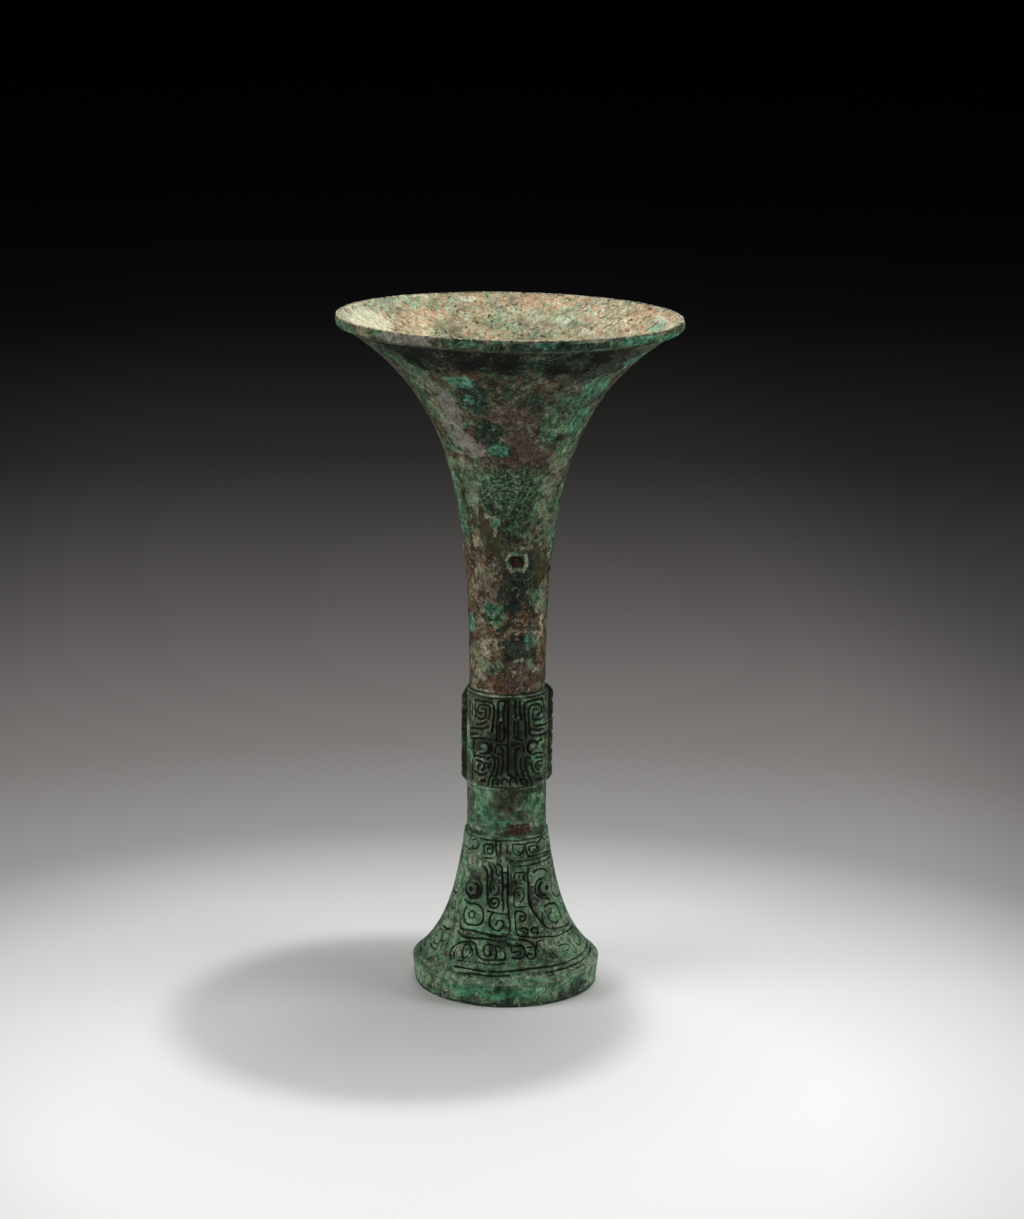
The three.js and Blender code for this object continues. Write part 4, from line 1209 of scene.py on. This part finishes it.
foot_minerals = {
    "green": ((0.5, 0.35, 0.5, 8.0, 61), [
        (-28, 57, 5, 4, 0.7), (-60, 36, 14, 12, 0.8), (-15, 31, 9, 8, 0.8), (-38, 28, 18, 8, 0.6),
        (-24, 42, 7, 14, 0.5), (10, 20, 14, 5, 0.5), (20, 5, 24, 8, 0.8),
        (60, 33, 8, 9, 0.6), (35, 58, 12, 4, 0.5), (-75, 22, 12, 10, 0.8), (0, 22, 5, 9, 0.6),
    ]),
    "fresh": ((0.42, 0.15, 0.4, 9.0, 60), [
        (-66, 38, 14, 30, 0.8), (-62, 22, 16, 14, 0.75), (-72, 6, 24, 9, 0.9), (-45, 6, 16, 7, 0.6),
        (-40, 30, 14, 14, 0.5), (-20, 26, 16, 16, 0.5), (-30, 10.6, 30, 2, 0.6), (58, 30, 12, 24, 0.6),
        (62, 16, 20, 12, 0.75), (30, 10.8, 40, 2, 0.7), (70, 6, 16, 10, 0.7), (24, 8, 16, 4, 0.5),
        (12, 30, 10, 10, 0.4), (-30, 57, 8, 6, 0.5), (60, 8, 10, 5, 0.7),
    ]),
    "teal": ((0.15, 0.02, 0.35, 7.0, 62), [
        (-12, 6, 42, 5, 0.9), (-14, 31, 5, 5, 0.4), (11, 58.5, 6, 4, 0.5), (12, 10.8, 40, 1.2, 0.5),
        (-26, 11, 16, 1.4, 0.5), (45, 7, 14, 4, 0.5), (52, 42, 5, 6, 0.4),
    ]),
    "olive": ((0.2, 0.2, 0.45, 6.0, 63), [(20, 30, 12, 10, 0.6), (66, 46, 5, 20, 0.6)]),
    "dark": ((0.3, 0.2, 0.45, 10.0, 65), [
        (-12, 46, 10, 18, 0.65), (28, 38, 5, 18, 0.6), (12, 56, 22, 6, 0.5), (-40, 40, 10, 5, 0.6),
        (8, 20, 14, 8, 0.5), (28, 17, 6, 6, 0.5), (0, 1.0, 200, 1.6, 0.7), (47, 5, 9, 8, 0.75),
        (36, 2.5, 12, 5, 0.7), (0, 40, 8, 30, 0.5),
    ]),
    "brown": ((0.25, 0.15, 0.45, 6.0, 67), [
        (-36, 47, 11, 8, 0.6), (28, 38, 5, 16, 0.5), (0, 0.4, 400, 1.0, 1.0), (-58, 13, 14, 4, 0.8),
        (54, 10, 14, 4, 0.8), (50, 5, 12, 6, 0.6), (-40, 54, 12, 3, 0.7), (45, 24, 16, 3, 0.7),
        (-72, 8, 6, 4, 0.7), (-85, 28, 8, 14, 0.5), (-66, 26, 5, 5, 0.6), (-30, 11.8, 20, 2, 0.7),
        (-50, 5, 10, 6, 0.6),
    ]),
    "pale": ((0.15, 0.15, 0.45, 4.0, 69), [
        (-34, 56, 14, 5, 0.45), (-45, 53, 14, 5, 0.5), (-58, 46, 8, 22, 0.4), (-68, 58, 8, 6, 0.45),
        (45, 22, 18, 7, 0.6), (30, 24, 12, 4, 0.5), (-38, 19, 10, 7, 0.5), (-60, 11.5, 34, 2, 0.6),
        (30, 12, 50, 1.6, 0.5), (70, 11, 26, 4, 0.65), (-75, 40, 6, 30, 0.45), (65, 45, 6, 24, 0.4),
        (62, 5, 12, 6, 0.5), (-70, 6, 16, 5, 0.5), (-55, 30, 8, 10, 0.4),
    ]),
}

# %% Stem
STEM_BOTTOM = 63.0
STEM_FOOT_BORE = 14.1  # mm: the hollow's radius there
STEM_POCKET_WIDTH, STEM_POCKET_DEPTH = 9.6, 0.9  # mm: over a chaplet
stem_step = [
    (STEM_RADIUS + BAND_STEP, STEM_BOTTOM),
    (STEM_RADIUS + BAND_STEP - 0.1, BAND_TOP),
    (STEM_RADIUS + 0.2, BAND_TOP + 0.6),
    (STEM_RADIUS, BAND_TOP + 1.5),
]
stem_bore = [
    (BORE_RADIUS, SPIGOT_TOP),
    (BORE_RADIUS, BAND_TOP + 2 * FOOT_WALL),
    (STEM_FOOT_BORE, STEM_BOTTOM),
]
stem_outline = outline(
    (stem_step, 0.3),
    ([stem_step[-1], (STEM_RADIUS, KNOP_BOTTOM)], 0.4),
    ([(STEM_RADIUS, KNOP_BOTTOM), (SPIGOT_RADIUS, KNOP_BOTTOM)], 0.9),
    ([(SPIGOT_RADIUS, KNOP_BOTTOM), (SPIGOT_RADIUS, SPIGOT_TOP)], 4.0),
    ([(SPIGOT_RADIUS, SPIGOT_TOP), stem_bore[0]], 0.8),
    (stem_bore, 5.0),
    ([stem_bore[-1], stem_step[0]], 0.8),
)
stem_turn = around(384)
chain = stem_outline[: int(np.argmax(stem_outline[:, 1] > KNOP_BOTTOM - 0.01)) + 1]
flat = turned(chain, stem_turn, 0.0)
lift = 0.1 * rough(flat, 5.0, 33) + 0.05 * rough(flat, 1.5, 35)
marks = {"sunk": np.zeros(flat.shape[:2])}
marks |= spread_out(stem_minerals, chain, stem_turn, flat, (STEM_BOTTOM, KNOP_BOTTOM))
for node in ring_of("stem"):
    far = pocket(chain, stem_turn, node, STEM_POCKET_WIDTH)
    far = far + 0.35 * rough(flat, 3.0, 34) + 0.15 * rough(flat, 1.2, 36)
    well = 1 - ease(0.75, 0.95, far)
    lift -= STEM_POCKET_DEPTH * well
    strengthen(marks, "sunk", 0.5 * well)
    strengthen(marks, "brown", 0.7 * (1 - ease(1.0, 1.4, far)))
stem_places, marks = completed(stem_outline, stem_turn, lift, marks)
skin("foot_stem", stem_places, marks, ["foot"], malachite_on_foot)

# %% Mask register
FOOT_EYES = (-44.4, 47.0)  # degrees
FOOT_EYE_HEIGHT, FOOT_EYE_SIZE, FOOT_EYE_RISE = 42.2, 2.5, 1.2
PUPIL_DEPTH = 0.9  # mm
RINGS_COVERED = ((-30, 53.4, 26, 6, 1.0), (200, 53.4, 16, 6, 1.0))  # patches where crust hides the rings
upper = stretch(spread, SEAM, STEM_BOTTOM)
upper_in = stretch(hollow_side, SEAM, STEM_BOTTOM)[::-1]
mask_outline = outline(
    (upper, 0.245),
    ([upper[-1], upper_in[0]], 0.9),
    (upper_in, 6.0),
    ([upper_in[-1], upper[0]], 0.9),
)
mask_turn = around(552)
face = front_half(mask_turn)
chain = outer_side(mask_outline)
flat = turned(chain, mask_turn, 0.0)
covered = patches(chain, mask_turn, RINGS_COVERED, 0.2 * rough(flat, 4.0))
distance = both_faces(drawn(foot_bold, narrow_band + foot_fine, chain, face))
distance = np.minimum(distance, ring_distance(chain, UPPER_RINGS, finer=0.12) + 2 * covered)
foot_eyes = {eye: both_faces(boss(chain, face, eye, FOOT_EYE_HEIGHT, FOOT_EYE_SIZE)) for eye in FOOT_EYES}
lift, marks = cast_surface(chain, mask_turn, distance, [(far, FOOT_EYE_RISE) for far in foot_eyes.values()])
marks["bare"] *= 0.6
marks["sunk"] *= FOOT_LINES
marks |= spread_out(foot_minerals, chain, mask_turn, flat, FOOT_RIM)
for eye, far in foot_eyes.items():
    pupil = 1 - ease(0.3, 0.5, far + 0.12 * rough(flat, 1.5, 71))
    socket = both_faces(crescent(chain, face, eye, FOOT_EYE_HEIGHT, FOOT_EYE_SIZE))
    lift -= PUPIL_DEPTH * pupil + SOCKET_DEPTH * socket
    strengthen(marks, "sunk", np.maximum(pupil, socket))
mask_places, marks = completed(mask_outline, mask_turn, lift, marks)
skin("foot_mask_register", mask_places, marks, ["foot"], malachite_on_foot)

# %% Curl register and rim
RINGS_DRAWN = (-84, 25)  # degrees: between these the two lines aren't even, and strokes stand for them
SHOULDER = ((RIM_HEIGHT, RIM_HEIGHT + 0.5), (11.6, 12.6))  # mm: the strip over the rim made paler, partly for wear and partly as painted light where it faces up
RIM_POCKET_WIDTH, RIM_POCKET_DEPTH = 4.6, 0.8  # mm: over a chaplet
lower = stretch(spread, RIM_HEIGHT + 0.01, SEAM)
lower_in = stretch(hollow_side, hollow_side[:, 1].min() + 0.01, SEAM)[::-1]
lower_in = np.vstack([lower_in, [(RIM_BORE, RIM_HEIGHT - FOOT_WALL)]])
rim_face = [
    (BASE_RADIUS - 0.5, 0),
    (BASE_RADIUS, 0.5),
    (RIM_RADIUS - 0.1, RIM_HEIGHT - 0.4),
    (RIM_RADIUS - 0.15, RIM_HEIGHT - 0.05),
    lower[0],
]
curl_outline = outline(
    (rim_face, 0.42),
    (lower, 0.27),
    ([lower[-1], lower_in[0]], 0.9),
    (lower_in, 3.0),
    ([lower_in[-1], (RIM_BORE, 0)], 3.0),
    ([(RIM_BORE, 0), rim_face[0]], 0.9),
)
curl_turn = around(704)
face = front_half(curl_turn)
chain = outer_side(curl_outline)
flat = turned(chain, curl_turn, 0.0)
in_strokes = (curl_turn > RINGS_DRAWN[0]) & (curl_turn < RINGS_DRAWN[1])
rings = np.where(in_strokes, STROKE_REACH, ring_distance(chain, LOWER_RINGS, finer=0.15))
distance = np.minimum(both_faces(drawn(foot_bold, foot_fine, chain, face)), rings)
lift, marks = cast_surface(chain, curl_turn, distance, [])
marks["sunk"] *= FOOT_LINES
marks |= spread_out(foot_minerals, chain, curl_turn, flat, FOOT_RIM)
height = chain[:, 1][:, None]
# Part wear, part painted light: the shoulder over the rim is paler where it faces up, and the rim's top edge
# has a painted highlight.
wear_and_highlight_edge = np.clip(0.45 * band(height, *SHOULDER) + 0.9 * bell(height, RIM_HEIGHT - 0.1, 0.45), 0, 1)
strengthen(marks, "wear_and_highlight", wear_and_highlight_edge * wandering(flat, 0.8, 0.5, 8.0, 45))
for node in ring_of("foot_rim"):
    far = pocket(chain, curl_turn, node, RIM_POCKET_WIDTH)
    well = 1 - ease(0.85, 1.0, far)
    lift = lift * (1 - well) - RIM_POCKET_DEPTH * well
    raised_edge = band(far, (0.85, 0.95), (1.15, 1.3))
    strengthen(marks, "wear_and_highlight", 1.3 * raised_edge)
    lift += 0.15 * raised_edge
    strengthen(marks, "sunk", 0.7 * well)
curl_places, marks = completed(curl_outline, curl_turn, lift, marks)
skin("foot_curl_register", curl_places, marks, ["foot"], malachite_on_foot)

# %% [markdown]
# A flange stands on each mould seam of the knop. In the solid it is a plate with crisp edges; here its
# corners and its cast notches are worn soft. Each section across it is a soft rectangle, a superellipse:
# the cosine and the sine of one turn, each raised to a small power.


# %% Flanges
def soft_rectangle(turns, power=0.4):
    """The unit superellipse: sign(cos) |cos|^power and sign(sin) |sin|^power."""
    return [np.sign(wave) * np.abs(wave) ** power for wave in (np.cos(turns), np.sin(turns))]


FLANGE_HALF = 1.1  # mm: half its thickness
FLANGE_ROOT = 14.7
FLANGE_RISE, FLANGE_FALL = 1.9, 1.3  # mm: the casting's flange runs on past the knop's two ends
HEEL = (2.6, 1.9)  # mm: how tall the lower corner is, and how far it draws the edge in
TEETH = 6  # a notch is cast between each two of them
OUT_OF_KNOP = 16.5  # mm: the radius from which the flange is in sight
NOTCH_SHADOW, CREST = (16.8, 17.6), (17.4, 18.0)  # mm: the radii over which they fade in
turns = np.radians(np.arange(0, 360, 7.5))


def drawn_in(away, tall, deep):
    """How far a rounded corner draws the edge in, at a distance from its end: part of a power curve."""
    return deep * np.clip(1 - away / tall, 0, 1) ** 1.6


# The shoulder is the upper corner: how tall it is, and how far it draws the edge in.
for side, node, notch_depth, browned, shoulder in (
    (1, "flange_right", 0.45, 0.8, (3.2, 2.7)),
    (-1, "flange_left", 0.2, 0.3, (6.2, 2.9)),
):
    low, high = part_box(node)
    edge_radius = max(abs(low.x), abs(high.x)) / MM
    low, high = low.z / MM - FLANGE_FALL, high.z / MM + FLANGE_RISE
    share = np.linspace(0, 1, 260)[:, None]
    height = low + (high - low) * share
    notches = ease(0.6, 0.95, np.cos(2 * np.pi * share * TEETH))
    notches = notches * ease(0.04, 0.08, share) * ease(0.04, 0.08, 1 - share)
    edge_now = edge_radius - notch_depth * notches
    edge_now = edge_now - drawn_in(high - height, *shoulder) - drawn_in(height - low, *HEEL)
    out, across = soft_rectangle(turns)
    radial = (edge_now + FLANGE_ROOT) / 2 + (edge_now - FLANGE_ROOT) / 2 * out[None, :]
    thick = FLANGE_HALF * across[None, :] * (1 - 0.12 * notches)
    places = np.stack([radial, thick, np.broadcast_to(height, thick.shape)], axis=-1)
    places[..., 0] += 0.3 * notch_depth * rough(places, 2.0, 49 + side) * (radial > OUT_OF_KNOP)
    places[..., 0] += 0.12 * rough(places, 4.0, 50) * (radial > OUT_OF_KNOP)
    places[..., 1] += 0.1 * rough(places, 1.6, 51)
    places[..., :2] *= side
    notched = notches * ease(*NOTCH_SHADOW, radial)
    marks = {
        "sunk": 0.55 * notched,
        "wear_and_highlight": wandering(places, 0.3, 0.4, 3.0, 58) * ease(*CREST, radial) * (1 - notched),
        "green": wandering(places, 0.3, 0.5, 6.0, 53),
        "dark": wandering(places, 0.6, 0.4, 5.0, 54),
        "brown": wandering(places, browned, 0.4, 6.0, 55),
        "pale": wandering(places, 0.02, 0.2, 6.0, 57),
    }
    skin(node + "_cast", places, marks, [node], malachite_on_knop, capped=True)

# %% [markdown]
# The chaplets stay as the solids have them, and the cup's floor too. They only need their finish.

# %% Finishes of the solids that stay
staying = {node: malachite_on_chaplet if "rim" in node else cuprite_on_chaplet for node in CHAPLETS}
staying["cup_floor"] = lime_in_mouth
for node, finish in staying.items():
    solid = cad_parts[node]
    solid.data.materials.clear()
    solid.data.materials.append(finish)
print("solids that stay:", sorted(staying))

# %% [markdown]
# The vessel stands on a pale floor that falls away into the dark behind it. The fall is painted light: the
# floor's colour darkens with the distance from a point just before the vessel, so no wall is needed. To the
# left and the right the colour is darkened once more, because the painted pool of light is narrow.

# %% Floor
FLOOR_REACH = 14.0  # metres
LIGHT_POOL_MIDDLE = (-0.02, -0.15, 0)  # metres: the middle of the painted pool of light
LIGHT_POOL_TONES = (  # metres from the middle of the painted pool of light, and the colour there
    (0.14, "#e9e8e7"), (0.25, "#c7c6c6"), (0.35, "#8f8d8c"), (0.5, "#767371"), (0.8, "#605c5b"),
    (1.3, "#322e2c"), (1.65, "#262422"), (2.0, "#262423"), (3.4, "#100f0e"),
)
LIGHT_POOL_SIDES = (0.2, 0.38)  # metres to each side: where the painted darkening starts, and where it is full
LIGHT_POOL_SIDE_SHARE = 0.55  # what is left of the colour's lightness there
PAPER_ROUGHNESS = 0.9
floor_mesh = bpy.data.meshes.new("floor")
rim_turns = np.radians(np.arange(0, 360, 5))
corners = np.column_stack([np.cos(rim_turns), np.sin(rim_turns), 0 * rim_turns]) * FLOOR_REACH
floor_mesh.from_pydata(corners.tolist(), [], [list(range(len(corners)))])
floor = bpy.data.objects.new("floor", floor_mesh)
bpy.context.scene.collection.objects.link(floor)
paper = bpy.data.materials.new("paper_with_painted_light_pool")
paper.use_nodes = True
tree = paper.node_tree
place = add(tree, "ShaderNodeTexCoord").outputs["Object"]
away = add(tree, "ShaderNodeVectorMath", {0: place, 1: LIGHT_POOL_MIDDLE}, operation="DISTANCE").outputs["Value"]
furthest = LIGHT_POOL_TONES[-1][0]
away = add(tree, "ShaderNodeMath", {0: away, 1: furthest}, operation="DIVIDE").outputs[0]
light_pool_tone = add(tree, "ShaderNodeValToRGB", {0: away})
stops = light_pool_tone.color_ramp.elements
for distance, shade in LIGHT_POOL_TONES[1:-1]:
    stops.new(distance / furthest)
for stop, (distance, shade) in zip(stops, LIGHT_POOL_TONES):
    stop.position = distance / furthest
    stop.color = linear(shade)
across = add(tree, "ShaderNodeSeparateXYZ", {0: place}).outputs["X"]
across = add(tree, "ShaderNodeMath", {0: across, 1: LIGHT_POOL_MIDDLE[0]}, operation="SUBTRACT").outputs[0]
across = add(tree, "ShaderNodeMath", {0: across}, operation="ABSOLUTE").outputs[0]
# Painted light: the pool of light is narrow, so its colour darkens again to the left and the right.
fall = spanned(tree, across, *LIGHT_POOL_SIDES, 1.0, LIGHT_POOL_SIDE_SHARE)
light_pool_tone = add(tree, "ShaderNodeVectorMath", {0: light_pool_tone.outputs[0], "Scale": fall}, operation="SCALE").outputs[0]
tree.links.new(light_pool_tone, tree.nodes["Principled BSDF"].inputs["Base Color"])
tree.nodes["Principled BSDF"].inputs["Roughness"].default_value = PAPER_ROUGHNESS
floor_mesh.materials.append(paper)
floor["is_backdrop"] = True
print("floor reaches", FLOOR_REACH, "m")

# %% [markdown]
# Two lamps hang at one place overhead, a little behind and to the right, as the photograph's shadow shows:
# a small one draws the shadow and a wide one softens it. They fill the mouth, but everything under the
# flare is in their shadow. So two side lamps at twice the vessel's height draw the body, and leave its
# middle and the flare's underside darker. Weak lamps before and behind lighten what is left.


# %% Light
def soft_light(name, place, aim, width, height, watts):
    """A rectangular lamp at a place in metres, turned to face a point."""
    lamp = bpy.data.lights.new(name, "AREA")
    lamp.shape = "RECTANGLE"
    lamp.size = width
    lamp.size_y = height
    lamp.energy = watts
    holder = bpy.data.objects.new(name, lamp)
    holder.location = place
    holder.rotation_euler = (Vector(aim) - Vector(place)).to_track_quat("-Z", "Y").to_euler()
    bpy.context.scene.collection.objects.link(holder)


OVERHEAD = (0.115, 0.115, 1.01)
NIGHT = 0.002  # the world's strength: any more would show as a grey strip above the floor's far edge
soft_light("overhead", OVERHEAD, (0, 0, 0.15), 0.06, 0.06, 3.8)
soft_light("overhead_wide", OVERHEAD, (0, 0, 0.15), 0.5, 0.5, 4.6)
soft_light("left", (-1.0, -0.32, 0.54), (0, 0, 0.12), 0.7, 0.7, 7.1)
soft_light("right", (1.0, -0.22, 0.54), (0, 0, 0.12), 0.7, 0.7, 5.6)
soft_light("front", (0.1, -1.5, 0.8), (0, 0, 0.15), 1.0, 0.6, 1.5)
soft_light("back", (-0.1, 1.5, 0.8), (0, 0, 0.15), 1.0, 0.6, 1.5)
world = bpy.data.worlds.new("studio")
bpy.context.scene.world = world
world.use_nodes = True
background = world.node_tree.nodes["Background"]
background.inputs["Color"].default_value = linear("#d0d0d0")
background.inputs["Strength"].default_value = NIGHT
bpy.context.scene.view_settings.view_transform = "Standard"

# %% [markdown]
# The camera was fitted to the ellipses of the lip and the foot: it stands 1.18 m from the axis, 0.437 m
# up, and looks 13.5 degrees down. The real vessel leans a little to the right, so the camera rolls by
# the same angle. The mask's middle faces slightly right of the camera.

# %% Camera
CAMERA_AWAY, CAMERA_HEIGHT = 1.18, 0.437
CAMERA_DOWN, CAMERA_TURN, CAMERA_ROLL = (math.radians(angle) for angle in (13.53, -3.0, 0.39))
IMAGE_WIDTH, FOCAL_PIXELS, AXIS_PIXEL = 1024, 3074, 507.9
camera = bpy.data.cameras.new("camera")
camera.sensor_fit = "HORIZONTAL"
camera.sensor_width = 36
camera.lens = camera.sensor_width * FOCAL_PIXELS / IMAGE_WIDTH
camera.shift_x = (IMAGE_WIDTH / 2 - AXIS_PIXEL) / IMAGE_WIDTH
camera.clip_start, camera.clip_end = 0.05, 60
viewer = bpy.data.objects.new("camera", camera)
bpy.context.scene.collection.objects.link(viewer)
ahead = Matrix.Rotation(CAMERA_TURN, 4, "Z")
tilt = Matrix.Rotation(math.pi / 2 - CAMERA_DOWN, 4, "X")
roll = Matrix.Rotation(CAMERA_ROLL, 4, "Z")
stand = Vector((0, -CAMERA_AWAY, CAMERA_HEIGHT))
viewer.matrix_world = ahead @ Matrix.Translation(stand) @ tilt @ roll
bpy.context.scene.camera = viewer
print("lens", round(camera.lens, 2), "mm")

# %% Finish
low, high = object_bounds()
print("visual size, mm:", [round(value / MM, 2) for value in high - low])
